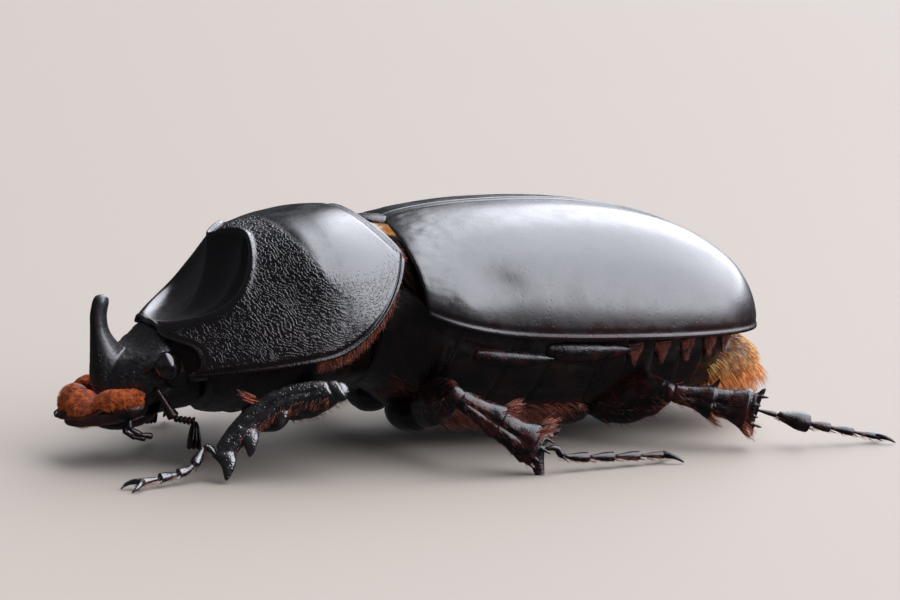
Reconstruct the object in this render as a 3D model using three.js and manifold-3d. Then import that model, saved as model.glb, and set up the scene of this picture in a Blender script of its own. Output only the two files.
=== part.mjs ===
// A rhinoceros beetle (genus Oryctes) at life size, standing still on level ground.
//
// Units are millimetres. +X is the beetle's left, +Y its rear and +Z up, and the floor is z = 0.
// The body is built of its real plates. Each is one closed solid, and plates that touch keep a
// thin gap between them.

import * as THREE from "three";
import { mergeVertices } from "three/addons/utils/BufferGeometryUtils.js";
import Module from "manifold-3d";

const wasm = await Module();
wasm.setup();

const { abs, cos, exp, max, min, sign, sin, PI } = Math;
const { clamp, lerp, smoothstep, degToRad } = THREE.MathUtils;
const point = (x, y, z) => new THREE.Vector3(x, y, z);

// ---------------------------------------------------------------- driving dimensions

const GAP = 0.1; // clear space between two plates that touch
const PLATE = 0.7; // thickness of the pronotum and of the wing cases

const WING_CASES = {
  base: -4.6, // y of the shoulders
  apex: 19.1, // y of the hind tip
  baseSweep: 1.2, // how far the base at the suture lies behind the shoulders
  widest: 7.5, // y where the pair is widest
  halfWidth: 9.8,
  shoulder: 9.1, // half width at the shoulders
  crown: 14.0, // z of the suture at its highest
  crownAt: 2.5, // y of that highest point
  baseDip: 0.6, // how far the suture drops to the base
  rim: 6.6, // z of the side rim behind the middle
  rimRise: 2.1, // how much higher the rim is at the shoulders
  rimFall: 4.2, // length over which it comes down
  tipDrop: 0.55, // how far the rim sinks again towards the apex
  squareness: 0.84, // 1 is an elliptical section, less is squarer
  baseSquareness: 1.0,
};

const PROTHORAX = {
  pivot: point(0, -5.55, 7.4), // middle of the hind margin, level with the side margins
  pitch: degToRad(9), // nose down
  length: 12.8,
  halfWidth: 9.3,
  hindHalfWidth: 9.2,
  frontHalfWidth: 4.7,
  widest: 4.6, // distance forward of the hind margin
  crown: 7.1, // height of the dome over the side margins
  hindCrown: 6.75,
  crownAt: 3.0,
  slopeFrom: 7.9, // where the dome gives way to the straight slope down to the head
  slope: 0.85, // drop per millimetre forward on that slope
  squareness: 0.86, // of the cross-section behind
  frontSquareness: 1.28, // and in front, where the sides fall like a roof
  cornerRise: 5.2, // the hind corners are rounded off up to this height
  cornerReach: 4.6,
  hindBulge: 1.3, // how far the hind margin bows back towards its corners
  eyeNotch: 1.3, // depth of the notch in the front margin round each eye
};

// The smooth hollow in the front of the pronotum, from its front margin up to its crest.
const HOLLOW = {
  front: 2.4, // height of its face over the side margins at the front margin
  crestHeight: 6.9,
  crest: 7.15, // distance forward of the hind margin
  steepness: 4, // over 1 the face steepens towards the crest
  flare: 0.02, // rise to the sides, per square millimetre
  soften: 0.3,
  lip: 0.3, // height of the rounded lip
  crestLip: 0.15, // how much higher it is at the crest
  lipWidth: 0.6,
};

// A shallow dent high on each flank of the pronotum.
const DENT = { forward: 5.6, height: 3.4, radius: 1.5, depth: 0.35 };

const HEAD = {
  neck: point(0, -17.6, 6.4),
  pitch: degToRad(42),
  back: -1.0,
  front: 4.9,
  halfWidth: 3.3,
  clypeusHalfWidth: 1.9,
  top: 1.75,
  bottom: -1.9,
};

// ---------------------------------------------------------------- shaping helpers

/** Moves each corner of a three.js shape to where place(x, y, z) puts it. */
function shaped(geometry, place) {
  const corners = geometry.getAttribute("position");
  for (let i = 0; i < corners.count; i++) {
    const to = place(corners.getX(i), corners.getY(i), corners.getZ(i));
    corners.setXYZ(i, to.x, to.y, to.z);
  }
  return geometry;
}

/** A three.js shape as a solid: corners merged, and faces that folded flat left out. */
function solid(geometry) {
  const bare = geometry.clone();
  bare.deleteAttribute("normal");
  bare.deleteAttribute("uv");
  const merged = mergeVertices(bare, 1e-4);
  const corners = merged.index.array;
  const faces = [];
  for (let i = 0; i < corners.length; i += 3) {
    const [a, b, c] = corners.slice(i, i + 3);
    if (a !== b && b !== c && c !== a) faces.push(a, b, c);
  }
  const build = (triVerts) =>
    new wasm.Manifold(
      new wasm.Mesh({
        numProp: 3,
        vertProperties: merged.getAttribute("position").array,
        triVerts: new Uint32Array(triVerts),
      }),
    );
  const made = build(faces);
  return made.volume() < 0 ? build(faces.reverse()) : made;
}

/** Several overlapping solids as one. */
const joined = (parts) => parts.reduce((all, part) => all.add(part));

/** A value bent towards a fuller curve, keeping its sign. */
const full = (value, power) => sign(value) * abs(value) ** power;

/** A closed body along an axis: place(x, z, t) puts each point of a unit disc at t from 0 to 1. */
const loft = (sides, steps, place) =>
  solid(
    shaped(new THREE.CylinderGeometry(1, 1, 1, sides, steps), (x, y, z) => place(x, z, 0.5 - y)),
  );

/** A limb segment from one point to another, `broad` being the way its width lies. */
function limb(from, to, broad, { sides = 8, steps = 4, width, depth, bow = 0 }) {
  const along = to.clone().sub(from);
  const across = broad.clone().projectOnPlane(along).normalize();
  const upward = along.clone().normalize().cross(across);
  return loft(sides, steps, (x, z, t) =>
    from
      .clone()
      .addScaledVector(along, t)
      .addScaledVector(across, bow * sin(PI * t) + x * width(t))
      .addScaledVector(upward, z * depth(t)),
  );
}

/** Half axes that run through the given values at even steps, joined smoothly. */
const profile =
  (...values) =>
  (t) => {
    const at = t * (values.length - 1);
    const i = min(Math.floor(at), values.length - 2);
    return lerp(values[i], values[i + 1], smoothstep(at - i, 0, 1) * 0.5 + (at - i) * 0.5);
  };

/** A ball with its own half axes, turned nose down by pitch. */
function egg(middle, halfX, halfY, halfZ, sides = 12, rings = 8, pitch = 0) {
  const ball = new THREE.SphereGeometry(1, sides, rings);
  ball.scale(halfX, halfZ, halfY).rotateX(PI / 2 + pitch);
  return solid(ball.translate(middle.x, middle.y, middle.z));
}

/** A plate with two faces: skin(u, v, depth) for u and v from 0 to 1. */
function plate(across, along, skin, thickness) {
  return solid(
    shaped(new THREE.BoxGeometry(1, 1, 1, across, along, 1), (x, y, z) =>
      skin(x + 0.5, y + 0.5, z > 0 ? 0 : thickness),
    ),
  );
}

/** A superellipse quarter: 1 at q = 0, falling to 0 at q = 1. */
const rounding = (q, power) => max(0, 1 - max(0, q) ** power) ** (1 / power);

/** The lower of two heights, blended where they cross. */
function softMin(a, b, radius) {
  const blend = max(0, 1 - abs(a - b) / radius);
  return min(a, b) - (blend * blend * radius) / 4;
}

// ---------------------------------------------------------------- wing cases

/** z of the side rim of the wing cases. */
function rimHeight(y) {
  const w = WING_CASES;
  const tip = w.tipDrop * max(0, (y - w.crownAt) / (w.apex - w.crownAt)) ** 2;
  return w.rim + w.rimRise * exp(-max(0, y - w.base) / w.rimFall) - tip;
}

/** Half width and crown height of the wing cases at y, shrunk by depth. */
function wingCaseSection(y, depth) {
  const w = WING_CASES;
  const rim = rimHeight(y);
  const behind = (y - w.widest) / (w.apex - depth - w.widest);
  const halfWidth =
    behind > 0
      ? w.halfWidth * rounding(behind, 2.5)
      : lerp(w.halfWidth, w.shoulder, ((w.widest - y) / (w.widest - w.base)) ** 2);
  const past = (y - w.crownAt) / (w.apex - depth - w.crownAt);
  const top =
    past > 0
      ? lerp(rim, w.crown, rounding(past, 2.25))
      : w.crown - w.baseDip * ((w.crownAt - y) / (w.crownAt - w.base)) ** 2;
  return {
    rim,
    halfWidth: halfWidth * (1 - depth / w.halfWidth),
    crown: (top - rim) * (1 - depth / (w.crown - w.rim)),
    squareness: lerp(w.baseSquareness, w.squareness, smoothstep(y, w.base, w.base + 7)),
  };
}

/**
 * Skin of the left wing case. u runs from the suture to the side rim, v from base to apex,
 * and depth shrinks it to a skin that lies that far inside.
 */
function wingCaseSkin(u, v, depth) {
  const w = WING_CASES;
  const angle = (u * PI) / 2;
  const base = w.base + w.baseSweep * cos(angle);
  const y = lerp(base, w.apex - depth, sin((v * PI) / 2));
  const { rim, halfWidth, crown, squareness } = wingCaseSection(y, depth);
  return {
    x: max(halfWidth * sin(angle) ** squareness, GAP / 2),
    y,
    z: rim + crown * cos(angle) ** squareness,
  };
}

const wingCase = () => plate(8, 13, wingCaseSkin, PLATE);

// ---------------------------------------------------------------- prothorax

/** From the prothorax's own frame (x, forward of the hind margin, height) to the part's. */
function prothoraxPoint(x, forward, height) {
  const { pivot, pitch } = PROTHORAX;
  return point(
    x,
    pivot.y - forward * cos(pitch) - height * sin(pitch),
    pivot.z - forward * sin(pitch) + height * cos(pitch),
  );
}

function pronotumHalfWidth(forward) {
  const p = PROTHORAX;
  return forward < p.widest
    ? lerp(p.halfWidth, p.hindHalfWidth, (1 - forward / p.widest) ** 2)
    : lerp(p.halfWidth, p.frontHalfWidth, ((forward - p.widest) / (p.length - p.widest)) ** 1.9);
}

function pronotumCrown(forward) {
  const p = PROTHORAX;
  const dome = lerp(p.crown, p.hindCrown, max(0, 1 - forward / p.crownAt) ** 2);
  const slope = p.crown - 0.25 - p.slope * (forward - p.slopeFrom);
  return softMin(dome, slope, 1);
}

const pronotumSquareness = (forward) =>
  lerp(PROTHORAX.squareness, PROTHORAX.frontSquareness, smoothstep(forward, 4, 8));

/** Height of the hollow's smooth face. */
function hollowHeight(x, forward) {
  const h = HOLLOW;
  const climb = max(0, (PROTHORAX.length - forward) / (PROTHORAX.length - h.crest));
  return lerp(h.front, h.crestHeight, climb ** h.steepness) + h.flare * x * x;
}

/**
 * Skin of the pronotum: u runs from its right margin over the top to its left, v from the
 * hind margin forward, and depth is how far inside the outer face the skin lies.
 */
function pronotumSkin(u, v, depth) {
  const p = PROTHORAX;
  const tilt = (u - 0.5) * PI;
  const hindEdge = -p.hindBulge * sin(tilt) ** 2;
  const frontEdge = p.length - p.eyeNotch * exp(-(((abs(tilt) - 1.15) / 0.25) ** 2));
  const forward = lerp(hindEdge, frontEdge, v);
  const squareness = pronotumSquareness(forward);
  const halfWidth = pronotumHalfWidth(forward) - depth * 0.8;
  const crown = pronotumCrown(forward) - depth;
  const toCorner = (forward + p.hindBulge) / (p.cornerReach + p.hindBulge);
  const corner = clamp(1 - toCorner, 0, 1) ** 1.9 * p.cornerRise;
  const lowest = Math.acos(min(1, corner / crown) ** (1 / squareness));
  const angle = lerp(-lowest, lowest, u);
  const dome = crown * cos(angle) ** squareness;
  const toDent = (forward - DENT.forward) ** 2 + (dome - DENT.height) ** 2;
  const dent = exp(-toDent / DENT.radius ** 2);
  const x = halfWidth * full(sin(angle), squareness) - sign(angle) * DENT.depth * dent;
  const hollow = hollowHeight(x, forward) - depth;
  const lipHeight = HOLLOW.lip + HOLLOW.crestLip * exp(-((x / 3) ** 4));
  const lip = lipHeight * exp(-(((dome - hollow) / HOLLOW.lipWidth) ** 2));
  const inFront = smoothstep(forward, HOLLOW.crest - 2.5, HOLLOW.crest - 0.5);
  return prothoraxPoint(x, forward, softMin(dome, hollow, HOLLOW.soften) + lip * inFront);
}

const pronotum = () => plate(18, 15, pronotumSkin, PLATE);

/** The prothorax under the pronotum, down to the breast between the front legs. */
function prothoraxCore() {
  const inside = PLATE + GAP + 0.05;
  const start = 0.6;
  const end = 10.8;
  return loft(16, 6, (x, z, t) => {
    const forward = lerp(start, end, t);
    const corner = clamp(1 - forward / PROTHORAX.cornerReach, 0, 1);
    const halfWidth = (pronotumHalfWidth(forward) - inside) * (1 - 0.35 * corner) - DENT.depth;
    const squareness = pronotumSquareness(forward);
    const acrossAt = halfWidth * full(x, squareness);
    if (z < 0) {
      const keel = 3.9 - 0.8 * ((forward - 6) / 5) ** 2;
      return prothoraxPoint(acrossAt, forward, -keel * full(-z, 1.1));
    }
    const dome = (pronotumCrown(forward) - inside) * full(z, squareness);
    const face = hollowHeight(acrossAt, forward + 0.7) - inside - 0.2;
    return prothoraxPoint(acrossAt, forward, min(dome, max(0, face)));
  });
}

// ---------------------------------------------------------------- hind body

const BODY = {
  front: -6.6,
  back: 17.7,
  waist: 5.9, // y of the cut between thorax and abdomen
  rump: 15.4, // y where the last plate, the pygidium, begins
  rumpTilt: -0.15,
  neckCut: -5.5, // y, level with the belly, of the cut behind the prothorax
};

function bellyHeight(y) {
  const rise = smoothstep(y, 9, BODY.back);
  const chest = 1 - smoothstep(y, BODY.front, -1);
  return 0.75 + 2.0 * rise ** 1.6 + 2.0 * chest;
}

/** Meso- and metathorax with the abdomen, closed above under the wing cases. */
function hindBody() {
  const depth = PLATE + GAP;
  return loft(18, 11, (x, z, t) => {
    const y = lerp(BODY.front, BODY.back, sin((t * PI) / 2));
    const { rim, halfWidth, crown, squareness } = wingCaseSection(y, depth);
    const neck = lerp(0.88, 1, smoothstep(y, BODY.front, -3));
    const close = rounding(max(0, (y - 13.5) / (BODY.back - 13.5)), 2.6) * neck;
    const acrossAt = (halfWidth - GAP / 2) * full(x, squareness) * close;
    if (z < 0) {
      return point(acrossAt, y, rim - (rim - bellyHeight(y)) * full(-z, 1.15) * close);
    }
    return point(acrossAt, y, rim + crown * full(z, squareness) * close);
  });
}

/** The last plate bulges out under the tips of the wing cases. */
const tail = () => egg(point(0, 14.6, 4.05), 6.6, 4.9, 1.9, 16, 6);

/** A slab one gap thick, square to Y unless tilted, for parting a solid in two. */
function slab(y, tilt = 0, side = 0) {
  const half = 30;
  const block = new THREE.BoxGeometry(2 * half, side ? 2 * half : GAP, 2 * half);
  block.translate(0, side * (half - GAP / 2), 0).rotateX(tilt);
  return solid(block.translate(0, y, 5));
}

const keepBefore = (body, y, tilt = 0) => body.subtract(slab(y, tilt, 1));
const keepAfter = (body, y, tilt = 0) => body.subtract(slab(y, tilt, -1));

// ---------------------------------------------------------------- head

/** From the head's own frame (x, forward of the neck, height) to the part's. */
function headPoint(x, forward, height) {
  const { neck, pitch } = HEAD;
  return point(
    x,
    neck.y - forward * cos(pitch) - height * sin(pitch),
    neck.z - forward * sin(pitch) + height * cos(pitch),
  );
}

/** The head outside the pronotum, or what clears it by grow. */
function headCapsule(grow = 0) {
  const h = HEAD;
  const capsule = loft(14, 7, (x, z, t) => {
    const reach = 0.5 - 0.5 * cos(t * PI);
    const forward = lerp(h.back - grow, h.front + grow, reach);
    const end = rounding(abs(2 * reach - 1), 4);
    const width = lerp(h.halfWidth, h.clypeusHalfWidth, smoothstep(t, 0.35, 0.95)) + grow;
    const top = h.top - 0.6 * smoothstep(t, 0.5, 1) + grow;
    const bottom = h.bottom + 0.9 * smoothstep(t, 0.4, 1) - grow;
    const height = z > 0 ? top * full(z, 0.75) : -bottom * full(z, 0.75);
    return headPoint(width * full(x, 0.75) * end, forward, height * end);
  });
  const { pitch, length } = PROTHORAX;
  const front = new THREE.BoxGeometry(40, 40, 40).translate(0, -20, 0).rotateX(pitch);
  const edge = prothoraxPoint(0, length + GAP - grow, 0);
  return capsule.intersect(solid(front.translate(0, edge.y, edge.z)));
}

/** The neck fills the mouth of the pronotum behind the head. */
const neck = () =>
  loft(12, 1, (x, z, t) => {
    const forward = lerp(PROTHORAX.length + 0.6, 11, t);
    return prothoraxPoint(3.4 * full(x, 0.8), forward, z > 0 ? 1.3 * z : 1.6 * z);
  });

/** The horn rises from the clypeus, leans back a little at its tip and thins to a blunt end. */
function horn() {
  const foot = 4.3;
  const tip = 9.6;
  return loft(10, 8, (x, z, t) => {
    const height = lerp(foot, tip, t ** 0.9);
    const rise = (height - foot) / (tip - foot);
    const frontEdge = -22.0 + 0.35 * smoothstep(rise, 0.75, 1);
    const thick = 0.95 + 2.5 * (1 - smoothstep(rise, -0.2, 0.72)) ** 1.25;
    const blunt = rounding(max(0, (rise - 0.9) / 0.1), 2) * 0.75 + 0.25;
    return point(
      (x * thick * 0.92 * blunt) / 2,
      frontEdge + thick / 2 + (z * thick * blunt) / 2,
      height,
    );
  });
}

// ---------------------------------------------------------------- legs

/**
 * The joints of the left legs, from the hip out to the claws. `broad` is the way the shin's
 * toothed edge faces. The right legs are the same, mirrored, each joint shifted by `right`.
 */
const LEGS = {
  front: {
    hip: point(3.3, -12.4, 2.8),
    knee: point(10.5, -10.5, 5.0),
    ankle: point(8.5, -17.0, 1.4),
    broad: point(0.35, -0.25, -0.9),
    toes: [point(7.6, -17.5, 1.85), point(8.2, -18.7, 0.8), point(8.9, -21.6, 0.45)],
    right: { knee: point(0.2, 0.8, 0), ankle: point(0.3, 2.2, 0), toes: point(1.2, 2.7, 0) },
    plump: 1.0,
    shin: { width: [0.5, 0.6, 0.65, 0.7, 0.7, 0.6], depth: [0.5, 0.55, 0.55, 0.55, 0.5, 0.45] },
    bow: -1.2,
    teeth: [
      { at: 0.46, length: 1.25, lean: 0.5, thick: 0.5 },
      { at: 0.74, length: 1.45, lean: 0.3, thick: 0.5 },
      { at: 0.98, length: 1.2, lean: 0.7, thick: 0.5 },
    ],
  },
  middle: {
    hip: point(3.4, -3.6, 2.2),
    knee: point(11.5, -4.0, 4.5),
    ankle: point(13.2, 0.4, 1.35),
    broad: point(0.1, -0.4, -0.9),
    toes: [point(13.3, 1.35, 1.45), point(13.25, 2.4, 0.85), point(13.1, 8.2, 0.5)],
    right: { knee: point(-0.2, -0.5, 0), ankle: point(-0.1, -0.9, 0), toes: point(0, -1.1, 0) },
    plump: 1.35,
    shin: { width: [0.5, 0.75, 0.85, 1.0, 1.2, 1.2], depth: [0.5, 0.55, 0.55, 0.6, 0.65, 0.65] },
    bow: 0,
    teeth: [
      { at: 0.5, length: -1.1, lean: 0.5, thick: 0.3 },
      { at: 0.96, length: 1.2, lean: 1.5, thick: 0.6 },
      { at: 0.96, length: -1.3, lean: 0.6, thick: 0.4 },
    ],
  },
  hind: {
    hip: point(3.6, 6.2, 2.0),
    knee: point(9.6, 10.2, 3.4),
    ankle: point(11.5, 14.8, 2.35),
    broad: point(0.2, 0.0, 1),
    toes: [point(11.65, 15.3, 2.25), point(12.2, 18.2, 1.4), point(12.5, 22.3, 0.42)],
    right: { knee: point(0.1, -0.3, 0), ankle: point(0.2, -0.5, 0), toes: point(0.3, -0.6, 0) },
    plump: 1.5,
    shin: { width: [0.5, 0.75, 0.85, 1.0, 1.15, 1.2], depth: [0.5, 0.55, 0.55, 0.6, 0.65, 0.65] },
    bow: 0,
    teeth: [
      { at: 0.5, length: 1.25, lean: 0.3, thick: 0.35 },
      { at: 0.97, length: 1.2, lean: 0.5, thick: 0.4 },
      { at: 0.97, length: -1.3, lean: 0.4, thick: 0.4 },
    ],
    firstToe: true,
  },
};

const mirrored = (p) => point(-p.x, p.y, p.z);
const midline = solid(new THREE.BoxGeometry(GAP, 90, 90));
const FLOOR = solid(new THREE.BoxGeometry(90, 90, 4).translate(0, 0, -2));

/** A pointed tooth or spine, rooted a little inside what carries it. */
function spine(root, tip, thick, sides = 4) {
  return limb(root, tip, point(0.31, 0.2, 0.93), {
    sides,
    steps: 1,
    width: (t) => lerp(thick, 0.1, t),
    depth: (t) => lerp(thick, 0.1, t),
  });
}

function legPoints(pair, left) {
  const leg = LEGS[pair];
  const shift = (p, by) => (left ? p.clone() : mirrored(p.clone().add(by)));
  const nothing = point(0, 0, 0);
  return {
    hip: shift(leg.hip, nothing),
    knee: shift(leg.knee, leg.right.knee),
    ankle: shift(leg.ankle, leg.right.ankle),
    broad: left ? leg.broad.clone() : mirrored(leg.broad),
    toes: leg.toes.map((p, i) => shift(p, i === 0 ? leg.right.ankle : leg.right.toes)),
    outward: left ? 1 : -1,
  };
}

const coxa = (leg, grow = 0) => egg(leg.hip, 2.3 + grow, 1.5 + grow, 1.4 + grow, 8, 5);

function femur(leg, grow = 0) {
  const along = leg.knee.clone().sub(leg.hip).normalize();
  const from = leg.hip.clone().addScaledVector(along, 2.35 + GAP - grow);
  const sizes = (...values) => values.map((value) => leg.plump * value + grow);
  const shaft = limb(from, leg.knee, point(0, 0.25, 1), {
    sides: 7,
    steps: 3,
    width: profile(...sizes(0.7, 1.04, 0.95, 0.5)),
    depth: profile(...sizes(0.5, 0.64, 0.56, 0.42)),
  });
  const cap = egg(leg.knee, 0.66 + grow, 0.66 + grow, 0.74 + grow, 7, 4);
  return shaft.add(cap);
}

function tibia(leg, grow = 0) {
  const along = leg.ankle.clone().sub(leg.knee).normalize();
  const start = leg.knee.clone().addScaledVector(along, 0.92);
  const end = leg.ankle.clone().addScaledVector(along, grow);
  const shaft = limb(start, end, leg.broad, {
    sides: 6,
    steps: 4,
    width: profile(...leg.shin.width.map((value) => value + grow)),
    depth: profile(...leg.shin.depth.map((value) => value + grow)),
    bow: leg.bow,
  });
  const out = leg.broad.clone().projectOnPlane(along).normalize();
  const teeth = leg.teeth.map(({ at, length, lean, thick }) => {
    const root = start.clone().lerp(leg.ankle, at);
    root.addScaledVector(out, leg.bow * sin(PI * at) + sign(length) * 0.3);
    const tip = root.clone().addScaledVector(out, length).addScaledVector(along, lean);
    return spine(root, tip, thick + grow);
  });
  return joined([shaft, ...teeth]);
}

/** Five toe joints, each wider at its far end, and a pair of curved claws. */
function tarsus(leg) {
  const path = new THREE.CatmullRomCurve3(leg.toes);
  const toes = 5;
  const shaft = loft(5, 2 * toes, (x, z, t) => {
    const along = path.getTangent(t);
    const across = point(-along.y, along.x, 0).normalize();
    const upward = along.clone().cross(across);
    const waist = Math.round(t * 2 * toes) % 2 === 0;
    const swollen = leg.firstToe && t < 0.25 ? 0.72 : 0.42;
    const size = waist ? 0.27 : swollen;
    return path
      .getPoint(t)
      .addScaledVector(across, size * x)
      .addScaledVector(upward, size * z);
  });
  const end = path.getPoint(1);
  const along = path.getTangent(1).setZ(0).normalize();
  const sideways = point(-along.y, along.x, 0);
  const claws = [-1, 1].map((side) => {
    const root = end.clone().addScaledVector(along, -0.2);
    const tip = end.clone().addScaledVector(along, 1.0).addScaledVector(sideways, side * 0.7);
    return limb(root, tip.setZ(0.1), sideways, {
      sides: 4,
      steps: 2,
      width: profile(0.27, 0.26, 0.14),
      depth: profile(0.25, 0.25, 0.14),
      bow: side * 0.25,
    });
  });
  return joined([shaft, ...claws]);
}

// ---------------------------------------------------------------- eyes, antennae, mouth

const EYE = { x: 3.45, y: -18.4, z: 5.85, radius: 0.75 };

function eye(side, grow = 0) {
  const radius = EYE.radius + grow;
  return egg(point(side * EYE.x, EYE.y, EYE.z), radius, radius, radius, 10, 6);
}

/** A scape, a short funicle, and a club of three leaves folded together. */
function antenna(side) {
  const at = (x, y, z) => point(side * x, y, z);
  const stalk = (from, to, thick) =>
    limb(from, to, point(1, 0, 0), {
      sides: 4,
      steps: 1,
      width: profile(thick * 0.8, thick),
      depth: profile(thick * 0.8, thick),
    });
  const scape = stalk(at(3.0, -18.9, 4.5), at(3.5, -18.0, 2.75), 0.38);
  const funicle = stalk(at(3.45, -18.05, 2.85), at(3.9, -16.7, 2.5), 0.28);
  const leaves = [-1, 0, 1].map((place) => {
    const root = at(3.85, -16.8, 2.55);
    const tip = at(4.3 + 0.32 * place, -17.15, 1.05);
    return limb(root, tip, point(0, 1, 0.3), {
      sides: 4,
      steps: 2,
      width: profile(0.25, 0.55, 0.3),
      depth: profile(0.25, 0.27, 0.25),
    });
  });
  return joined([scape, funicle, ...leaves]);
}

/** A broad blunt jaw reaching forward from under the clypeus. */
const mandible = (side, grow = 0) =>
  limb(point(side * 1.6, -20.4, 3.7), point(side * 0.85, -23.4, 2.95), point(1, 0, 0), {
    sides: 8,
    steps: 4,
    width: profile(...[0.7, 1.0, 0.95, 0.78, 0.35].map((value) => value + grow)),
    depth: profile(...[0.6, 0.95, 1.0, 0.8, 0.35].map((value) => value + grow)),
  });

const maxilla = (side, grow = 0) =>
  egg(point(side * 2.6, -20.4, 3.35), 0.65 + grow, 1.15 + grow, 0.65 + grow, 8, 5, 0.1);

/** The lower lip with its two short feelers. */
function labium(grow = 0) {
  const plate = egg(point(0, -19.9, 2.5), 1.7 + grow, 1.9 + grow, 0.75 + grow, 10, 5, 0.12);
  const palps = [-1, 1].map((side) =>
    limb(point(side * 1.1, -20.3, 2.1), point(side * 1.7, -21.3, 1.1), point(1, 0, 0), {
      sides: 5,
      steps: 2,
      width: profile(0.3, 0.36, 0.28),
      depth: profile(0.3, 0.36, 0.28),
    }),
  );
  return joined([plate, ...palps]);
}

/** The small shield between the bases of the wing cases. */
const scutellum = (grow = 0) =>
  egg(point(0, -4.2, 13.0), 1.7 + grow, 1.9 + grow, 0.5 + grow, 12, 5, -0.12);

// ---------------------------------------------------------------- materials

const shell = new THREE.MeshStandardMaterial({ color: 0x17151a, roughness: 0.28, metalness: 0 });
const underside = new THREE.MeshStandardMaterial({ color: 0x2c1210, roughness: 0.4, metalness: 0 });
const jawShell = new THREE.MeshStandardMaterial({ color: 0x4a2a1c, roughness: 0.4, metalness: 0 });
const bristle = new THREE.MeshStandardMaterial({ color: 0xb4521c, roughness: 0.7, metalness: 0 });
const eyeGloss = new THREE.MeshStandardMaterial({ color: 0x0c0a0c, roughness: 0.1, metalness: 0 });

// ---------------------------------------------------------------- assembly

/** The largest piece of a cut solid. */
const mainPiece = (body) =>
  body.decompose().reduce((best, piece) => (piece.volume() > best.volume() ? piece : best));

/** A solid with others cut away from it. */
const without = (body, cutters) =>
  mainPiece(cutters.reduce((left, cutter) => left.subtract(cutter), body));

/** A group whose origin is at a point of the part. */
function groupAt(parent, origin) {
  const group = new THREE.Group();
  group.position.copy(parent.worldToLocal(origin.clone()));
  parent.add(group);
  return group;
}

/** Adds a named plate to a group, with its own origin at its pivot. */
function add(group, name, body, material, pivot) {
  const mesh = body.getMesh();
  const corners = new Float32Array(mesh.numVert * 3);
  for (let i = 0; i < mesh.numVert; i++) {
    corners.set(mesh.vertProperties.subarray(i * mesh.numProp, i * mesh.numProp + 3), i * 3);
  }
  const geometry = new THREE.BufferGeometry();
  geometry.setAttribute("position", new THREE.BufferAttribute(corners, 3));
  geometry.setIndex(new THREE.BufferAttribute(mesh.triVerts, 1));
  geometry.translate(-pivot.x, -pivot.y, -pivot.z);
  geometry.computeVertexNormals();
  const placed = new THREE.Mesh(geometry, material);
  placed.name = name;
  placed.position.copy(group.worldToLocal(pivot.clone()));
  group.add(placed);
}

const legs = ["left", "right"].flatMap((side) =>
  Object.keys(LEGS).map((pair) => ({
    side,
    pair,
    ...LEGS[pair],
    ...legPoints(pair, side === "left"),
  })),
);
const frontLegs = legs.filter((leg) => leg.pair === "front");
const hindLegs = legs.filter((leg) => leg.pair === "hind");
const backLegs = legs.filter((leg) => leg.pair !== "front");
const legSpace = (some) => some.flatMap((leg) => [coxa(leg, GAP), femur(leg, GAP)]);
const bothSides = (shape) => [shape(1, GAP), shape(-1, GAP)];

const beetle = new THREE.Group();
const { pivot } = PROTHORAX;
const prothorax = groupAt(beetle, pivot);
add(prothorax, "pronotum", pronotum(), shell, pivot);
add(prothorax, "prosternum", without(prothoraxCore(), legSpace(frontLegs)), underside, pivot);

const { neck: nape } = HEAD;
const head = groupAt(prothorax, nape);
const capsule = headCapsule();
const jaws = bothSides(mandible);
const brushes = bothSides(maxilla);
const skull = without(capsule.add(neck()), [...bothSides(eye), ...jaws, ...brushes]);
const headSpace = headCapsule(GAP);
add(head, "head", skull, shell, nape);
add(head, "horn", without(horn(), [headSpace, ...jaws]), shell, nape);
add(head, "labium", without(labium(), [headSpace, ...jaws, ...brushes]), underside, nape);
for (const [side, name] of [
  [1, "left"],
  [-1, "right"],
]) {
  const feeler = without(antenna(side), [headSpace, maxilla(side, GAP)]);
  add(head, `eye_${name}`, eye(side), eyeGloss, nape);
  add(head, `antenna_${name}`, feeler, underside, nape);
  add(head, `mandible_${name}`, without(mandible(side), [midline]), jawShell, nape);
  add(head, `maxilla_${name}`, without(maxilla(side), [mandible(side, GAP)]), bristle, nape);
}

const waist = point(0, BODY.waist, 0);
const hindbody = groupAt(beetle, waist);
const trunk = hindBody();
const chest = keepAfter(keepBefore(trunk, BODY.waist), BODY.neckCut, PROTHORAX.pitch);
const belly = keepAfter(keepBefore(trunk, BODY.rump, BODY.rumpTilt), BODY.waist);
const rump = keepAfter(trunk.add(tail()), BODY.rump, BODY.rumpTilt);
const wing = without(wingCase(), [scutellum(GAP)]);
const thorax = without(chest, [scutellum(GAP), ...legSpace(backLegs)]);
add(hindbody, "scutellum", scutellum(), shell, waist);
add(hindbody, "elytron_left", wing, shell, waist);
add(hindbody, "elytron_right", wing.scale([-1, 1, 1]), shell, waist);
add(hindbody, "thorax", thorax, underside, waist);
add(hindbody, "abdomen", without(belly, legSpace(hindLegs)), underside, waist);
add(hindbody, "pygidium", mainPiece(rump), underside, waist);

for (const leg of legs) {
  const joint = groupAt(leg.pair === "front" ? prothorax : hindbody, leg.hip);
  const named = (piece) => `${leg.pair}_${piece}_${leg.side}`;
  const shin = without(tibia(leg), [FLOOR, femur(leg, GAP)]);
  add(joint, named("coxa"), without(coxa(leg), [midline]), underside, leg.hip);
  add(joint, named("femur"), femur(leg), underside, leg.hip);
  add(joint, named("tibia"), shin, shell, leg.knee);
  add(joint, named("tarsus"), without(tarsus(leg), [FLOOR]), shell, leg.ankle);
}

export default beetle;
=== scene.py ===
"""A rhinoceros beetle (genus Oryctes) at life size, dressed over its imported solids.

Shapes are worked out in millimetres, +X the beetle's left, +Y its rear, +Z up, floor z = 0.
Each finished piece is brought to metres, with its place in its mesh.
"""

import math

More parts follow.
